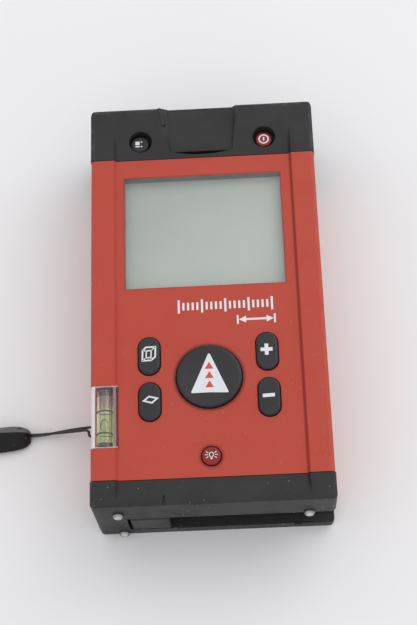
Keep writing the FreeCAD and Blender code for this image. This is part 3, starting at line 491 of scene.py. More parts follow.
class Finish(Enum):
    """Every finish on the instrument."""

    # The housing's bands and rings are painted shade: darker at the rail steps, most at the right one, and round
    # the measure and light keys.
    RED = MouldedPlastic("red_housing", (0.445, 0.054, 0.031), (0.435, 0.05, 0.028), roughness=0.52, specular=0.36,
                         wear=0.25, wear_colour=(0.56, 0.16, 0.13), dust=0.14,
                         creases=(("X", 25.3, 25.8, 0.55), ("X", -25.8, -25.4, 0.1)),
                         shade_rings=((0.0, -24.3, 9.25, 0.85), (-0.1, -46.9, 2.8, 0.7)))
    # The caps' bands are painted shade at the rail steps.
    DARK = MouldedPlastic("dark_cap", (0.027, 0.027, 0.027), (0.022, 0.022, 0.022), roughness=0.55,
                          wear=0.4, wear_colour=(0.12, 0.12, 0.1), dust=0.55, specular=0.27,
                          shading_and_rim_colour=(0.008, 0.008, 0.008), creases=(("X", 25.3, 25.8, 0.6), ("X", -25.8, -25.2, 0.3)))
    KEY_BLACK = MouldedPlastic("key_black", (0.026, 0.025, 0.028), (0.022, 0.02, 0.022), roughness=0.42,
                               grain=0.2, grain_depth=0.006, specular=0.34)
    KEY_RED = MouldedPlastic("key_red", (0.25, 0.013, 0.011), (0.22, 0.011, 0.009), roughness=0.36,
                             grain=0.2, grain_depth=0.006, specular=0.4)
    SEAL = MouldedPlastic("seal_rubber", (0.014, 0.014, 0.014), (0.018, 0.018, 0.018), roughness=0.7)
    # The bezel's own dark blue-grey is made darker as painted shade for its walls seen at the window's edge; its
    # band paints the top of the rim the housing's red.
    BEZEL = MouldedPlastic("display_bezel", (0.045, 0.052, 0.064), (0.036, 0.042, 0.052), roughness=0.45,
                           shading_and_rim_colour=(0.4, 0.05, 0.032), creases=(("Z", 27.1, 28.0, 1.0),))
    GUIDE = MouldedPlastic("light_guide", (0.72, 0.75, 0.72), (0.68, 0.71, 0.69), roughness=0.3)
    CHIP = MouldedPlastic("chip_black", (0.016, 0.016, 0.017), (0.021, 0.021, 0.022), roughness=0.55)
    CARRIER = MouldedPlastic("carrier_black", (0.02, 0.02, 0.022), (0.026, 0.026, 0.028), roughness=0.6)
    END_PIECE = MouldedPlastic("end_piece_grey", (0.025, 0.025, 0.026), (0.021, 0.021, 0.022), roughness=0.5,
                               grain=0.35, dust=0.25, specular=0.32)
    LEVEL_BLACK = MouldedPlastic("level_black", (0.012, 0.012, 0.013), (0.016, 0.016, 0.016), roughness=0.5)
    # The ferrule's band is a painted highlight: its upward face lighter than the rest of the black.
    FERRULE = MouldedPlastic("ferrule_black", (0.007, 0.007, 0.0075), (0.01, 0.01, 0.0105), roughness=0.42,
                             grain=0.4, grain_depth=0.01, dust=0.25, specular=0.2,
                             shading_and_rim_colour=(0.13, 0.13, 0.132), creases=(("Y", -29.9, -28.6, 0.95),), front_z=-5.0)
    SCREW = SatinMetal("screw_steel", (0.58, 0.58, 0.57), roughness=0.36)
    # The stops' metal is darker away from the middles of the pins' ends: painted shade.
    STOP = SatinMetal("stop_steel", (0.66, 0.66, 0.63), roughness=0.22, brush=(1.0, 8.0, 1.0),
                      tips=((-25.8, 21.3, 1.5), (-25.8, 2.9, 1.5), (25.4, 17.3, 1.5)))
    CONTACT = SatinMetal("contact_steel", (0.66, 0.64, 0.6), roughness=0.3)
    BRASS = SatinMetal("brass", (0.72, 0.5, 0.22), roughness=0.28)
    PLATE = SatinMetal("plate_silver", (0.6, 0.6, 0.6), roughness=0.45, brush=(8.0, 1.0, 1.0))
    PANE = ClearMoulding("clear_pane", ripple=0.0015)
    COVER = ThinClear("display_cover", (0.8, 0.82, 0.82), 0.07)
    # The acrylic's bands are painted reflection and highlight: a bright strip down the block's left side, a fainter
    # strip right of the tube, and lines along the tops of its end walls.
    ACRYLIC = ThinClear("clear_acrylic", (0.72, 0.68, 0.69), 0.06,
                        bands=(("X", -32.4, -31.3, 0.25, 0.88), ("X", -26.2, -25.6, 0.25, 0.3),
                               ("Y", -43.7, -43.4, 0.12, 0.6), ("Y", -26.25, -25.9, 0.12, 0.45)))
    TUBE = ClearMoulding("level_glass", ripple=0.002)
    LIQUID = ClearMoulding("level_liquid", (0.9, 0.95, 0.7), (0.85, 0.9, 0.6), ior=1.33, ripple=0.0)
    REFLECTOR = TintedReflector("level_reflector")
    WHITE_INK = PrintInk("white_ink", (0.68, 0.7, 0.73), (0.5, 0.51, 0.53))
    RED_INK = PrintInk("red_ink", (0.6, 0.06, 0.04), (0.5, 0.06, 0.045))
    GREY_INK = PrintInk("grey_ink", (0.05, 0.05, 0.05), (0.12, 0.12, 0.12))
    DISPLAY = DisplayFace("display_face", (0.325, 0.365, 0.32), (0.42, 0.458, 0.408))
    CORD = BraidedFibre("strap_cord_black", (0.016, 0.016, 0.015), (0.06, 0.06, 0.056), 3, 1.3)
    LOOP = BraidedFibre("hand_loop_black", (0.012, 0.012, 0.013), (0.05, 0.05, 0.048), 6, 4.0)
    BOARD = CircuitBoard("circuit_board")
    CELL = CellJacket("cell_jacket")

    def material(self) -> bpy.types.Material:
        """The finish's material, built the first time it is asked for."""
        return bpy.data.materials.get(self.value.name + LOOK) or self.value.make()


# ------------------------------------------------------------------------------ mesh helpers
def put(name: str, data: bpy.types.ID) -> bpy.types.Object:
    """Adds an object with the given data to the scene."""
    item = bpy.data.objects.new(name, data)
    bpy.context.scene.collection.objects.link(item)
    return item


def result_of(item: bpy.types.Object) -> bpy.types.Mesh:
    """The mesh that an object's modifiers or curve give, as a plain mesh."""
    bpy.context.view_layer.update()
    return bpy.data.meshes.new_from_object(item.evaluated_get(bpy.context.evaluated_depsgraph_get()))


def dress(nodes: Iterable[str], finish: Finish, frame: dict) -> None:
    """Gives each named frame piece a finish.

    Args:
        nodes: names of the frame's pieces.
        finish: the finish they all get.
        frame: the loaded frame.
    """
    for name in nodes:
        piece = frame["nodes"][name]
        if not piece.material_slots:
            piece.data.materials.append(None)
        for slot in piece.material_slots:
            slot.material = finish.material()
        LOG.info("%s dressed as %s", name, finish.value.name)


def add_piece(name: str, mesh: bpy.types.Mesh, finish: Finish, body: str) -> bpy.types.Object:
    """Adds a finished piece that rides on a body.

    Args:
        name: the piece's name.
        mesh: its mesh, in place.
        finish: its finish.
        body: the body it moves with.

    Returns:
        The new object.
    """
    mesh.materials.clear()
    mesh.materials.append(finish.material())
    piece = put(name, mesh)
    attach(piece, body)
    LOG.info("%s rides on %s with %d faces", name, body, len(mesh.polygons))
    return piece


def to_mesh(name: str, bm: bmesh.types.BMesh, smooth: bool = True) -> bpy.types.Mesh:
    """Turns a bmesh into a mesh with outward faces and frees it.

    Args:
        name: the mesh's name.
        bm: the bmesh, which is freed.
        smooth: whether faces are shaded smooth below a 35 degree crease.

    Returns:
        The mesh.
    """
    bmesh.ops.remove_doubles(bm, verts=bm.verts, dist=1e-7)
    bmesh.ops.recalc_face_normals(bm, faces=bm.faces)
    mesh = bpy.data.meshes.new(name)
    bm.to_mesh(mesh)
    bm.free()
    if smooth:
        mesh.shade_smooth()
        mesh.set_sharp_from_angle(angle=math.radians(35))
    return mesh


def lathe(profile: Sequence[Point2], segments: int,
          place: Callable[[float, float, float], Point3]) -> bmesh.types.BMesh:
    """Turns a profile round an axis.

    Args:
        profile: (radius, height) points from the bottom of the axis to its top.
        segments: number of steps round the axis.
        place: gives a point in millimetres from radius, angle and height.

    Returns:
        A closed bmesh.
    """
    bm = bmesh.new()
    rings = []
    for radius, height in profile:
        steps = 1 if radius < 1e-6 else segments
        turn = [place(radius, math.tau * i / segments, height) for i in range(steps)]
        rings.append([bm.verts.new(Vector(p) * MM) for p in turn])
    for low, high in zip(rings, rings[1:]):
        for i in range(segments):
            j = (i + 1) % segments
            corners = [low[i % len(low)], low[j % len(low)], high[j % len(high)], high[i % len(high)]]
            unique = list(dict.fromkeys(corners))
            if len(unique) > 2:
                bm.faces.new(unique)
    return bm


def stroke(points: Sequence[Point2], width: float, closed: bool = False) -> list[list[Point2]]:
    """Outlines a line of the given width as a mitred strip of quads.

    Args:
        points: the middle of the line.
        width: how wide it is drawn.
        closed: whether it comes back to its start.

    Returns:
        One four-cornered outline per stretch.
    """
    count = len(points)
    sides = []
    for i, point in enumerate(points):
        here = Vector(point)
        before = Vector(points[(i - 1) % count]) if closed or i else None
        after = Vector(points[(i + 1) % count]) if closed or i < count - 1 else None
        into = (here - before).normalized() if before is not None else (after - here).normalized()
        out = (after - here).normalized() if after is not None else into
        across = Vector((-(into + out).y, (into + out).x)).normalized()
        reach = width / 2 / max(0.35, across.dot(Vector((-out.y, out.x))))
        sides.append((here + across * reach, here - across * reach))
    steps = range(count if closed else count - 1)
    quads = [(*sides[i], *reversed(sides[(i + 1) % count])) for i in steps]
    return [[tuple(corner) for corner in quad] for quad in quads]


def circle(x: float, y: float, radius: float, steps: int = 32, squash: float = 1.0) -> list[Point2]:
    """Points round a circle, or an oval when squash isn't 1."""
    turns = [math.tau * i / steps for i in range(steps)]
    return [(x + radius * math.cos(t), y + radius * squash * math.sin(t)) for t in turns]


@dataclass
class Printer:
    """Lays flat printed shapes on the top of a frame piece."""

    node: bpy.types.Object
    lift: float = 0.02
    ink: float = 0.03
    finest: float = 0.9

    def __post_init__(self) -> None:
        """Readies the surface that the ink is laid on."""
        corners = [v.co.copy() for v in self.node.data.vertices]
        faces = [tuple(p.vertices) for p in self.node.data.polygons]
        self.surface = BVHTree.FromPolygons(corners, faces)
        self.top = max(c.z for c in corners) + 5 * MM

    def height(self, x: float, y: float) -> float:
        """Height of the surface under a point, all in metres."""
        hit = self.surface.ray_cast(Vector((x, y, self.top)), Vector((0, 0, -1)))
        return hit[0].z

    def lay(self, name: str, outlines: Sequence[Sequence[Point2]]) -> bpy.types.Mesh:
        """Makes thin ink bodies with the given outlines.

        Args:
            name: the mesh's name.
            outlines: closed outlines in millimetres; neighbours may share corners.

        Returns:
            The mesh, resting on the surface.
        """
        bm = bmesh.new()
        for outline in outlines:
            bm.faces.new([bm.verts.new((x * MM, y * MM, 0.0)) for x, y in outline])
        bm.normal_update()
        for face in bm.faces:
            if face.normal.z < 0:
                face.normal_flip()
        bmesh.ops.remove_doubles(bm, verts=bm.verts, dist=1e-6)
        bmesh.ops.triangulate(bm, faces=bm.faces)
        for _ in range(3):
            long = [e for e in bm.edges if e.calc_length() > self.finest * MM]
            if long:
                bmesh.ops.subdivide_edges(bm, edges=long, cuts=1)
                bmesh.ops.triangulate(bm, faces=bm.faces)
        top = list(bm.faces)
        for vert in bm.verts:
            vert.co.z = self.height(vert.co.x, vert.co.y) + (self.lift + self.ink) * MM
        lower = bmesh.ops.extrude_face_region(bm, geom=top)
        for item in lower["geom"]:
            if isinstance(item, bmesh.types.BMVert):
                item.co.z -= (self.ink + self.lift * 1.5) * MM
        return to_mesh(name, bm, smooth=False)


# ------------------------------------------------------------------------------ repeated details
class Repeat(Tree):
    """A Geometry Nodes tree that repeats a small block along a line."""

    SIZES = (("Pitch", "NodeSocketFloat"), ("Length", "NodeSocketFloat"), ("Width", "NodeSocketFloat"),
             ("Height", "NodeSocketFloat"), ("Every", "NodeSocketInt"), ("Longer", "NodeSocketFloat"))

    def __init__(self, name: str) -> None:
        """Builds the tree.

        Args:
            name: the tree's name.
        """
        self.tree = bpy.data.node_groups.new(name, "GeometryNodeTree")
        super().__init__(self.tree)
        face = self.tree.interface
        face.new_socket("Geometry", in_out="INPUT", socket_type="NodeSocketGeometry")
        face.new_socket("Count", in_out="INPUT", socket_type="NodeSocketInt")
        for label, kind in self.SIZES:
            face.new_socket(label, in_out="INPUT", socket_type=kind)
        face.new_socket("Material", in_out="INPUT", socket_type="NodeSocketMaterial")
        face.new_socket("Geometry", in_out="OUTPUT", socket_type="NodeSocketGeometry")
        given = self.add("NodeGroupInput").outputs
        line = self.add("GeometryNodeMeshLine", Count=given["Count"], Offset=self.vector(given["Pitch"], 0.0, 0.0))
        index = self.add("GeometryNodeInputIndex").outputs[0]
        longer = self.math("COMPARE", self.math("MODULO", index, given["Every"]), 0.0, 0.1)
        scale = self.math("MULTIPLY_ADD", longer, self.math("SUBTRACT", given["Longer"], 1.0), 1.0)
        block = self.add("GeometryNodeMeshCube", Size=self.vector(given["Width"], given["Length"], given["Height"]))
        spread = self.add("GeometryNodeInstanceOnPoints", Points=line.outputs["Mesh"],
                          Instance=block.outputs["Mesh"], Scale=self.vector(1.0, scale, 1.0))
        real = self.add("GeometryNodeRealizeInstances", Geometry=spread.outputs["Instances"])
        painted = self.add("GeometryNodeSetMaterial", Geometry=real.outputs["Geometry"], Material=given["Material"])
        self.add("NodeGroupOutput", Geometry=painted.outputs["Geometry"])

    def vector(self, x: object, y: object, z: object) -> bpy.types.NodeSocket:
        """Adds a Combine XYZ node and returns its vector."""
        return self.add("ShaderNodeCombineXYZ", X=x, Y=y, Z=z).outputs[0]

    def run(self, name: str, place: Matrix, finish: Finish, count: int, **sizes: float) -> bpy.types.Mesh:
        """Runs the tree and returns its result as a plain mesh in place.

        Args:
            name: the mesh's name.
            place: where the pattern stands, in metres.
            finish: the finish that the blocks get.
            count: how many blocks.
            **sizes: the tree's other inputs, in millimetres, in lower case.

        Returns:
            The finished mesh.
        """
        carrier = put(name, bpy.data.meshes.new(name))
        modifier = carrier.modifiers.new(name, "NODES")
        modifier.node_group = self.tree
        inputs = {s.name: s.identifier for s in self.tree.interface.items_tree if s.in_out == "INPUT"}
        modifier[inputs["Count"]] = count
        modifier[inputs["Material"]] = finish.material()
        modifier[inputs["Every"]] = int(sizes.pop("every", count + 1))
        modifier[inputs["Longer"]] = sizes.pop("longer", 1.0)
        for label, value in sizes.items():
            modifier[inputs[label.capitalize()]] = value * MM
        mesh = result_of(carrier)
        bpy.data.objects.remove(carrier)
        mesh.transform(place)
        mesh.name = name
        return mesh


# ------------------------------------------------------------------------------ studio
@dataclass
class Studio:
    """Camera, pale floor and soft light."""

    camera_place: Point3 = (11.460, -160.747, 385.818)
    right: Point3 = (0.99857, -0.03032, -0.04409)
    up: Point3 = (0.04534, 0.91697, 0.39637)
    back: Point3 = (0.02841, -0.39780, 0.91703)
    lens: float = 80.96
    floor_size: float = 4000.0
    key_place: Point3 = (620.0, 560.0, 760.0)
    key_size: float = 900.0
    key_power: float = 3.1
    fill_place: Point3 = (-500.0, -300.0, 900.0)
    fill_power: float = 0.3
    sky: float = 0.925

    def build(self) -> None:
        """Makes the camera, the floor and the lights."""
        scene = bpy.context.scene
        scene.view_settings.view_transform = "Standard"
        camera = put("camera", bpy.data.cameras.new("camera"))
        camera.data.lens = self.lens
        camera.data.sensor_width = 36.0
        camera.data.clip_start = 0.01
        turn = Matrix((self.right, self.up, self.back)).transposed().to_4x4()
        camera.matrix_world = Matrix.Translation(Vector(self.camera_place) * MM) @ turn
        scene.camera = camera
        self.build_floor()
        self.build_light("key_light", self.key_place, self.key_size, self.key_power)
        self.build_light("fill_light", self.fill_place, self.key_size, self.fill_power)
        world = bpy.data.worlds.new("soft_sky")
        world.use_nodes = True
        Tree(world.node_tree).feed(world.node_tree.nodes["Background"], Color=(0.98, 0.98, 1.0, 1.0),
                                   Strength=self.sky)
        scene.world = world

    def build_floor(self) -> None:
        """Makes the plain floor."""
        half = self.floor_size / 2 * MM
        mesh = bpy.data.meshes.new("floor")
        corners = [(-half, -half, 0), (half, -half, 0), (half, half, 0), (-half, half, 0)]
        mesh.from_pydata(corners, [], [(0, 1, 2, 3)])
        g = Graph("floor_paper")
        paper = g.mix(g.noise(60.0, 2.0), (0.82, 0.82, 0.82), (0.8, 0.8, 0.805))
        mesh.materials.append(g.coat(Base_Color=paper, Roughness=0.7, Specular_IOR_Level=0.2))
        put("floor", mesh)

    def build_light(self, name: str, place: Point3, size: float, power: float) -> None:
        """Adds a square soft light aimed at the instrument."""
        lamp = bpy.data.lights.new(name, "AREA")
        lamp.size = size * MM
        lamp.energy = power
        holder = put(name, lamp)
        holder.location = Vector(place) * MM
        holder.rotation_euler = (-Vector(place)).to_track_quat("-Z", "Y").to_euler()


# ------------------------------------------------------------------------------ strap
@dataclass
class Strap:
    """Thin doubled cord from the eyelet to a plastic ferrule, and the braided hand loop behind it."""

    cord_diameter: float = 0.8
    loop_diameter: float = 3.2
    braid_relief: float = 0.1          # how far the strands stand out, as a share of the radius
    cord_route: Sequence[Point3] = (
        (-52.9, -30.15, 0.75), (-49.4, -30.15, 0.75), (-45.2, -29.5, 1.2), (-41.0, -29.45, 2.8),
        (-37.2, -29.85, 5.0), (-33.4, -30.0, 6.2), (-29.6, -29.85, 6.5), (-29.6, -32.45, 6.5),
        (-32.2, -33.1, 6.5), (-35.5, -33.2, 6.5), (-35.5, -30.95, 6.4), (-38.2, -30.6, 5.0),
        (-42.4, -30.2, 2.95), (-46.2, -30.0, 1.95), (-49.6, -30.15, 1.65), (-52.9, -30.15, 1.65))
    loop_route: Sequence[Point3] = (
        (-72.0, -30.55, 1.9), (-80.0, -30.55, 1.9), (-92.5, -21.5, 1.62), (-104.0, -6.5, 1.62),
        (-122.0, 1.0, 1.62), (-141.0, -0.5, 1.62), (-157.0, -11.0, 1.62), (-166.0, -28.0, 1.62),
        (-163.0, -47.0, 1.62), (-149.5, -60.5, 1.62), (-130.5, -65.5, 1.62),
        (-111.0, -62.0, 1.62), (-94.0, -49.5, 1.62), (-82.5, -34.15, 1.9), (-72.0, -34.15, 1.9))
    sleeve_section: Sequence[Point2] = (
        (3.55, 1.6), (3.6, 2.6), (3.3, 3.7), (2.6, 4.4), (1.7, 4.7), (0.9, 4.78), (-0.2, 4.35), (-1.6, 3.5),
        (-2.8, 2.6), (-3.5, 1.8), (-3.55, 1.0), (-2.6, 0.2), (0.0, 0.03), (2.6, 0.2), (3.4, 0.8))
    sleeve_ridge: int = 5              # which point of the section runs along the ridge
    ridge_crease: float = 0.6
    slot_place: Point3 = (-55.5, -28.9, 4.5)
    slot_size: Point3 = (1.6, 0.45, 1.6)
    sleeve_stations: Sequence[tuple[float, float, float, float]] = (
        (-52.9, -30.7, 0.36, 0.56), (-53.1, -30.75, 0.48, 0.68), (-53.6, -30.85, 0.64, 0.8),
        (-54.5, -31.0, 0.8, 0.9), (-55.8, -31.1, 0.91, 0.96), (-57.6, -31.2, 0.98, 1.0),
        (-60.0, -31.4, 1.01, 1.0), (-66.5, -31.9, 1.04, 1.0),
        (-70.0, -32.2, 1.04, 1.0), (-71.4, -32.3, 1.03, 0.98), (-72.0, -32.35, 0.98, 0.95))
    cord_length: float = 51.8
    loop_length: float = 243.0

    def line(self, name: str, route: Sequence[Point3]) -> list[Vector]:
        """The smooth line of a route.

        Args:
            name: name for the scratch curve.
            route: the spline's control points.

        Returns:
            Points along the line, in metres.
        """
        curve = bpy.data.curves.new(name, "CURVE")
        curve.dimensions = "3D"
        curve.resolution_u = 24
        spline = curve.splines.new("NURBS")
        spline.points.add(len(route) - 1)
        for point, place in zip(spline.points, route):
            point.co = (*(Vector(place) * MM), 1.0)
        spline.order_u = 3
        spline.use_endpoint_u = True
        holder = put(name, curve)
        mesh = result_of(holder)
        points = [v.co.copy() for v in mesh.vertices]
        bpy.data.objects.remove(holder)
        bpy.data.meshes.remove(mesh)
        return points

    def even(self, points: Sequence[Vector], step: float) -> list[Vector]:
        """Points an even step apart along a line, its two ends among them."""
        spans = [(b - a).length for a, b in zip(points, points[1:])]
        count = max(2, round(sum(spans) / (step * MM)))
        wanted = sum(spans) / count
        result = [points[0]]
        walked = 0.0
        for start, end, span in zip(points, points[1:], spans):
            while len(result) < count and walked + span >= wanted * len(result):
                share = (wanted * len(result) - walked) / span
                result.append(start.lerp(end, share))
            walked += span
        return result + [points[-1]]

    def tube(self, name: str, points: Sequence[Vector], diameter: float, around: int,
             finish: Finish) -> bpy.types.Mesh:
        """A closed tube along a line with a raised two-way braid.

        Args:
            name: the mesh's name.
            points: evenly spaced points of its middle line, in metres.
            diameter: outer diameter.
            around: number of sides.
            finish: the braid, which gives the strands each way and the length of one turn.

        Returns:
            The mesh, with a UV map in turns round and millimetres along.
        """
        bm = bmesh.new()
        weave = bm.loops.layers.uv.new("weave")
        braid = finish.value
        side = Vector((0, 0, 1))
        travelled = 0.0
        rings, lengths = [], []
        for i, point in enumerate(points):
            ahead = (points[min(i + 1, len(points) - 1)] - points[max(i - 1, 0)]).normalized()
            side = (side - ahead * side.dot(ahead)).normalized()
            other = ahead.cross(side)
            if i:
                travelled += (point - points[i - 1]).length / MM
            ring = []
            for j in range(around):
                angle = math.tau * j / around
                turn, lean = braid.threads * angle, math.tau * travelled / braid.pitch
                strand = abs(math.sin(turn + lean) * math.sin(turn - lean)) ** 0.5
                reach = diameter / 2 * MM * (1.0 - self.braid_relief * (1.0 - strand))
                off = side * (math.cos(angle) * reach) + other * (math.sin(angle) * reach)
                ring.append(bm.verts.new(point + off))
            rings.append(ring)
            lengths.append(travelled)
        for low, high, v0, v1 in zip(rings, rings[1:], lengths, lengths[1:]):
            for j in range(around):
                k = (j + 1) % around
                face = bm.faces.new((low[j], low[k], high[k], high[j]))
                for loop, uv in zip(face.loops, ((j, v0), (j + 1, v0), (j + 1, v1), (j, v1))):
                    loop[weave].uv = (uv[0] / around, uv[1])
        bm.faces.new(list(reversed(rings[0])))
        bm.faces.new(rings[-1])
        return to_mesh(name, bm)

    def build_ferrule(self) -> bpy.types.Object:
        """Makes the sleeve that joins the cord and the loop, with its ridge and small slot."""
        bm = bmesh.new()
        rings = [[bm.verts.new(Vector((x, middle + y * wide, z * high)) * MM) for y, z in self.sleeve_section]
                 for x, middle, wide, high in self.sleeve_stations]
        count = len(self.sleeve_section)
        for a, b in zip(rings, rings[1:]):
            for i in range(count):
                bm.faces.new((a[i], a[(i + 1) % count], b[(i + 1) % count], b[i]))
        bm.faces.new(rings[0])
        bm.faces.new(list(reversed(rings[-1])))
        crease = bm.edges.layers.float.new("crease_edge")
        for a, b in zip(rings, rings[1:]):
            bm.edges.get((a[self.sleeve_ridge], b[self.sleeve_ridge]))[crease] = self.ridge_crease
        mesh = to_mesh("strap_sleeve", bm)
        piece = add_piece("strap_sleeve", mesh, Finish.FERRULE, HOUSING)
        rounder = piece.modifiers.new("round", "SUBSURF")
        rounder.levels = rounder.render_levels = 2
        slot = bmesh.new()
        bmesh.ops.create_cube(slot, size=1.0, matrix=Matrix.Translation(Vector(self.slot_place) * MM)
                              @ Matrix.Diagonal((*(Vector(self.slot_size) * MM), 1.0)))
        cutter = put("slot_cutter", to_mesh("slot_cutter", slot, smooth=False))
        cut = piece.modifiers.new("slot", "BOOLEAN")
        cut.object = cutter
        cut.solver = "EXACT"
        result = result_of(piece)
        piece.modifiers.clear()
        piece.data = result
        result.shade_smooth()
        result.set_sharp_from_angle(angle=math.radians(40))
        bpy.data.objects.remove(cutter)
        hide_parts("strap_ferrule")
        return piece

    def build(self, frame: dict) -> None:
        """Makes the cord, the ferrule and the loop.

        Args:
            frame: the loaded frame.
        """
        ferrule = self.build_ferrule()
        cord_line = self.even(self.line("cord_line", self.cord_route), 0.11)
        cord_mesh = self.tube("thin_cord", cord_line, self.cord_diameter, 14, Finish.CORD)
        cord = add_piece("thin_cord", cord_mesh, Finish.CORD, HOUSING)
        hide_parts("strap_cord")
        loop_line = self.even(self.line("loop_line", self.loop_route), 0.28)
        loop_mesh = self.tube("braided_loop", loop_line, self.loop_diameter, 36, Finish.LOOP)
        loop = add_piece("braided_loop", loop_mesh, Finish.LOOP, HOUSING)
        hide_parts("hand_loop")
        dress(["strap_bar"], Finish.SCREW, frame)


# ------------------------------------------------------------------------------ housing
@dataclass
class Housing:
    """Shells, caps, seals, screws, back plate, tripod bush and the printed rule on the front."""

    rule_place: Point3 = (-7.9, -3.1, 27.2)
    rule_pitch: float = 1.3
    rule_ticks: int = 21
    arrow_span: Point2 = (8.4, 18.7)
    arrow_y: float = -7.7
    arrow_head: float = 2.3
    arrow_bar: float = 1.35            # half the height of the bars at the arrow's ends
    plate_place: Point3 = (0.0, 25.8, 0.11)
    plate_rows: int = 5
    bush_minor: float = 2.6
    bush_major: float = 3.15
    bush_outer: float = 4.4
    bush_bevel: float = 0.4
    thread_pitch: float = 1.27
    thread_fade: float = 0.8           # run-out at each end

    def build(self, frame: dict) -> None:
        """Dresses the housing and adds its small details."""
        for finish, nodes in ((Finish.RED, ["front_shell", "rear_shell"]), (Finish.DARK, ["top_cap", "bottom_cap"]),
                              (Finish.SEAL, ["top_seal", "bottom_seal"]), (Finish.SCREW, ["housing_screws"]),
                              (Finish.PLATE, ["rating_plate"])):
            dress(nodes, finish, frame)
        bars = Repeat("row_of_bars")
        self.build_rule(frame, bars)
        self.build_plate_lines(bars)
        self.build_bush()

    def build_plate_lines(self, bars: Repeat) -> None:
        """Prints rows of plain bars on the plate at the back.

        Args:
            bars: the tree that makes the bars.
        """
        place = Matrix.Translation(Vector(self.plate_place) * MM) @ Matrix.Rotation(math.pi / 2, 4, "Z")
        mesh = bars.run("plate_lines", place, Finish.GREY_INK, self.plate_rows, pitch=2.6, length=27.0,
                        width=1.1, height=0.05, every=2, longer=0.7)
        add_piece("plate_lines", mesh, Finish.GREY_INK, HOUSING)

    def build_rule(self, frame: dict, bars: Repeat) -> None:
        """Prints a row of graduation lines and a double-headed arrow under the display.

        Args:
            frame: the loaded frame.
            bars: the tree that makes the lines.
        """
        x, y, z = self.rule_place
        place = Matrix.Translation(Vector((x, y, z + 0.02)) * MM)
        mesh = bars.run("printed_rule", place, Finish.WHITE_INK, self.rule_ticks, pitch=self.rule_pitch,
                       length=2.3, width=0.6, height=0.05, every=5, longer=1.75)
        add_piece("printed_rule", mesh, Finish.WHITE_INK, HOUSING)
        printer = Printer(frame["nodes"]["front_shell"])
        (left, right), y = self.arrow_span, self.arrow_y
        shapes = stroke([(left + self.arrow_head, y), (right - self.arrow_head, y)], 0.6)
        for end, inward in ((left, 1), (right, -1)):
            base = end + inward * self.arrow_head
            shapes.append([(end + inward * 0.3, y), (base, y + inward), (base, y - inward)])
            shapes += stroke([(end, y - self.arrow_bar), (end, y + self.arrow_bar)], 0.5)
        add_piece("printed_arrow", printer.lay("printed_arrow", shapes), Finish.WHITE_INK, HOUSING)

    def build_bush(self) -> None:
        """Makes the tripod bush with its thread."""
        low, high = (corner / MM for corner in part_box("tripod_bush"))
        x, y = (low.x + high.x) / 2, (low.y + high.y) / 2

        def at(radius: float, angle: float, height: float) -> Point3:
            """A point of the bush; the bore's wall carries the thread."""
            if math.isclose(radius, self.bush_minor):
                wave = abs(((height / self.thread_pitch - angle / math.tau) % 1.0) * 2 - 1)
                fade = min(1.0, (height - low.z) / self.thread_fade, (high.z - height) / self.thread_fade)
                radius = self.bush_minor + (self.bush_major - self.bush_minor) * (wave * fade + 1 - fade)
            return x + radius * math.cos(angle), y + radius * math.sin(angle), height

        steps = 60
        bore = [(self.bush_minor, low.z + (high.z - low.z) * i / steps) for i in range(steps + 1)]
        profile = [(self.bush_outer - self.bush_bevel, low.z), (self.bush_outer, low.z + self.bush_bevel),
                   (self.bush_outer, high.z)]
        bm = lathe(profile + list(reversed(bore)) + [profile[0]], 64, at)
        bush = add_piece("threaded_bush", to_mesh("threaded_bush", bm), Finish.BRASS, HOUSING)
        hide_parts("tripod_bush")


# ------------------------------------------------------------------------------ display and inside
@dataclass
class Electronics:
    """Display stack, board, keys' domes, power parts and optics."""

    finishes: dict[str, Finish] = field(default_factory=lambda: {
        "display_window": Finish.COVER, "lcd_frame": Finish.BEZEL, "lcd_panel": Finish.DISPLAY,
        "lcd_backlight": Finish.GUIDE, "lcd_connectors": Finish.SEAL, "main_board": Finish.BOARD,
        "key_domes": Finish.CONTACT, "board_chips": Finish.CHIP, "beeper": Finish.CHIP,
        "board_screws": Finish.SCREW, "battery_cells": Finish.CELL, "battery_contacts": Finish.CONTACT,
        "battery_cover": Finish.DARK, "battery_cover_pin": Finish.SCREW, "optics_carrier": Finish.CARRIER,
        "laser_module": Finish.BRASS, "collimator_lens": Finish.PANE, "receiver_lens": Finish.PANE,
        "detector_board": Finish.BOARD, "front_window": Finish.PANE})

    def build(self, frame: dict) -> None:
        """Dresses every inner piece."""
        for node, finish in self.finishes.items():
            dress([node], finish, frame)


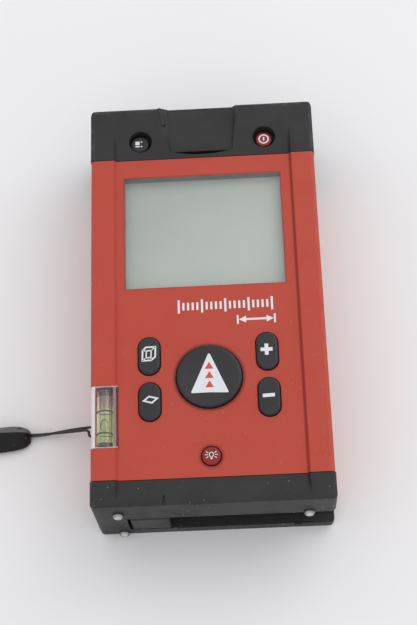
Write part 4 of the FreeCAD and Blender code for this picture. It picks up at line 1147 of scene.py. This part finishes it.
# ------------------------------------------------------------------------------ keypad
@dataclass
class Keypad:
    """The eight keys and the symbols printed on them."""

    light: Point2 = (-0.1, -46.9)
    reference: Point2 = (-18.3, 50.1)
    power: Point2 = (18.2, 49.9)
    line: float = 0.45

    def build(self, frame: dict) -> None:
        """Dresses the keys and prints their symbols."""
        black = ["measure_key", "volume_key", "area_key", "plus_key", "minus_key", "reference_key"]
        dress(black, Finish.KEY_BLACK, frame)
        dress(["light_key", "power_key"], Finish.KEY_RED, frame)
        for key, symbol in (("measure_key", self.triangle), ("volume_key", self.cube), ("area_key", self.rhombus),
                            ("plus_key", self.plus), ("minus_key", self.minus), ("light_key", self.lamp),
                            ("reference_key", self.edge), ("power_key", self.ring)):
            self.mark(frame, key, symbol, Finish.WHITE_INK)
        self.mark(frame, "measure_key", self.pointers, Finish.RED_INK, 0.05)

    def mark(self, frame: dict, key: str, symbol: Callable[[], list[list[Point2]]], finish: Finish,
             lift: float = 0.02) -> None:
        """Prints one symbol on one key.

        Args:
            frame: the loaded frame.
            key: the key's node, which is also its body.
            symbol: the method that gives its outlines, whose name it takes.
            finish: the ink.
            lift: how far it stands off the key.
        """
        printer = Printer(frame["nodes"][key], lift=lift)
        name = f"{key}_{symbol.__name__}"
        add_piece(name, printer.lay(name, symbol()), finish, key)

    def triangle(self) -> list[list[Point2]]:
        """Tall white triangle with cut corners and a slightly bowed base."""
        return [[(-0.15, -17.9), (0.35, -17.9), (5.1, -29.0), (5.0, -29.4), (0.0, -29.1), (-4.95, -29.2),
                 (-5.0, -28.85)]]

    def pointers(self) -> list[list[Point2]]:
        """Three small triangles in a column."""
        return [[(0.05, top), (-1.15, top - 2.0), (1.2, top - 2.0)] for top in (-20.25, -22.95, -25.65)]

    def cube(self) -> list[list[Point2]]:
        """Outline of a box with a smaller box's face inside it."""
        outer = [(-18.2, -19.1), (-18.1, -16.1), (-17.2, -15.15), (-14.55, -15.1), (-14.65, -18.0), (-15.75, -19.0)]
        inner = [(-17.15, -18.25), (-17.05, -16.2), (-15.75, -16.15), (-15.8, -18.2)]
        shapes = stroke(outer, self.line, closed=True) + stroke(inner, self.line * 0.8, closed=True)
        for corner, target in zip((0, 1, 3, 5), inner):
            shapes += stroke([outer[corner], target], self.line * 0.6)
        return shapes

    def rhombus(self) -> list[list[Point2]]:
        """Flat lozenge, as a floor seen at an angle."""
        return stroke([(-17.95, -30.75), (-16.5, -29.55), (-14.3, -30.15), (-15.75, -31.4)], self.line, closed=True)

    def plus(self) -> list[list[Point2]]:
        """Plus sign."""
        x, y, arm, half = 15.95, -17.25, 1.65, 0.52
        return [[(x - half, y + arm), (x - half, y + half), (x - arm, y + half), (x - arm, y - half),
                 (x - half, y - half), (x - half, y - arm), (x + half, y - arm), (x + half, y - half),
                 (x + arm, y - half), (x + arm, y + half), (x + half, y + half), (x + half, y + arm)]]

    def minus(self) -> list[list[Point2]]:
        """Minus sign."""
        return [[(14.3, -30.2), (14.3, -31.2), (17.6, -31.05), (17.6, -30.05)]]

    def lamp(self) -> list[list[Point2]]:
        """Small lamp with three rays on each side."""
        x, y = self.light
        bulb = [(x - 0.15, y - 0.5), (x - 0.6, y + 0.2), (x - 0.5, y + 0.65), (x, y + 0.95),
                (x + 0.5, y + 0.65), (x + 0.6, y + 0.2), (x + 0.15, y - 0.5)]
        shapes = stroke(bulb, 0.2, closed=True)
        shapes.append(circle(x, y - 0.8, 0.27, 12))
        for side in (-1, 1):
            for lean in (-32, 0, 32):
                a = math.radians(lean)
                shapes += stroke([(x + side * 0.95 * math.cos(a), y + 0.25 + 0.95 * math.sin(a)),
                                  (x + side * 1.7 * math.cos(a), y + 0.25 + 1.7 * math.sin(a))], 0.2)
        return shapes

    def edge(self) -> list[list[Point2]]:
        """Instrument against a dotted line."""
        x, y = self.reference
        return [[(x - 1.3, y + 0.95), (x - 1.3, y - 0.25), (x - 0.05, y - 0.25), (x - 0.05, y + 0.95)],
                [(x - 1.3, y - 0.55), (x - 1.3, y - 0.95), (x - 0.05, y - 0.95), (x - 0.05, y - 0.55)],
                circle(x + 0.5, y + 0.8, 0.24, 10), circle(x + 0.5, y - 0.75, 0.24, 10)]

    def ring(self) -> list[list[Point2]]:
        """Ring with an upright bar in it."""
        x, y = self.power
        return stroke(circle(x, y, 1.35, 36), 0.42, closed=True) + stroke([(x, y - 0.55), (x, y + 0.65)], 0.42)


# ------------------------------------------------------------------------------ level
@dataclass
class Level:
    """Spirit level in the left rail."""

    axis: Point2 = (-28.85, 25.0)
    bubble_y: float = -36.7
    bubble: Point3 = (1.0, 1.85, 0.7)
    sleeve: Point2 = (2.235, 2.165)
    sleeve_span: Point2 = (-42.8, -26.7)
    gap: float = 0.02                  # between the liquid and its tube

    def build(self, frame: dict) -> None:
        """Dresses the clear pieces and makes the liquid with its bubble."""
        dress(["vial_block"], Finish.ACRYLIC, frame)
        dress(["vial_tube"], Finish.TUBE, frame)
        dress(["vial_plugs", "vial_rings"], Finish.LEVEL_BLACK, frame)
        low, high = (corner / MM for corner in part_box("vial_liquid"))
        x, z = self.axis
        radius = (high.z - low.z) / 2 - self.gap
        ends = (low.y + self.gap, high.y - self.gap)
        profile = [(0.0, ends[0]), (radius, ends[0]), (radius, ends[1]), (0.0, ends[1])]
        bm = lathe(profile, 48, lambda r, a, h: (x + r * math.cos(a), h, z + r * math.sin(a)))
        bmesh.ops.recalc_face_normals(bm, faces=bm.faces)
        inner = bmesh.new()
        bmesh.ops.create_uvsphere(inner, u_segments=32, v_segments=20, radius=1.0)
        centre = Vector((x, self.bubble_y, z + radius - self.bubble[2] - 0.12)) * MM
        bmesh.ops.transform(inner, verts=inner.verts, matrix=Matrix.Translation(centre) @ Matrix.Diagonal(
            (*(Vector(self.bubble) * MM), 1.0)))
        bmesh.ops.reverse_faces(inner, faces=inner.faces)
        hollow = bpy.data.meshes.new("bubble")
        inner.to_mesh(hollow)
        inner.free()
        bm.from_mesh(hollow)
        mesh = bpy.data.meshes.new("level_liquid")
        bm.to_mesh(mesh)
        bm.free()
        bpy.data.meshes.remove(hollow)
        mesh.shade_smooth()
        mesh.set_sharp_from_angle(angle=math.radians(40))
        liquid = add_piece("level_liquid_body", mesh, Finish.LIQUID, HOUSING)
        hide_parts("vial_liquid")
        self.build_reflector()

    def build_reflector(self) -> None:
        """Makes the thin painted sleeve behind the lower half of the tube."""
        x, z = self.axis
        outer, inner = self.sleeve
        turns = [math.pi + math.pi * i / 24 for i in range(25)]
        outline = [(x + outer * math.cos(t), z + outer * math.sin(t)) for t in turns]
        outline += [(x + inner * math.cos(t), z + inner * math.sin(t)) for t in reversed(turns)]
        bm = bmesh.new()
        ends = [[bm.verts.new(Vector((px, y, pz)) * MM) for px, pz in outline] for y in self.sleeve_span]
        for i in range(len(outline)):
            j = (i + 1) % len(outline)
            bm.faces.new((ends[0][i], ends[0][j], ends[1][j], ends[1][i]))
        half = len(turns)
        for end in ends:
            for i in range(half - 1):
                bm.faces.new((end[i], end[i + 1], end[2 * half - 2 - i], end[2 * half - 1 - i]))
        add_piece("level_reflector", to_mesh("level_reflector", bm), Finish.REFLECTOR, HOUSING)


# ------------------------------------------------------------------------------ lower end
@dataclass
class LowerEnd:
    """Fold-out end piece, its pin and the metal stops."""

    def build(self, frame: dict) -> None:
        """Dresses the pieces at the lower end."""
        dress(["end_piece"], Finish.END_PIECE, frame)
        dress(["end_piece_pin"], Finish.SCREW, frame)
        dress(["stop_pins"], Finish.STOP, frame)


def main() -> None:
    """Builds the instrument's looks round its frame."""
    logging.basicConfig(level=logging.INFO, format="%(name)s: %(message)s")
    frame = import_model()
    Studio().build()
    Strap().build(frame)
    Housing().build(frame)
    Electronics().build(frame)
    Keypad().build(frame)
    Level().build(frame)
    LowerEnd().build(frame)


if __name__ == "__main__":
    main()
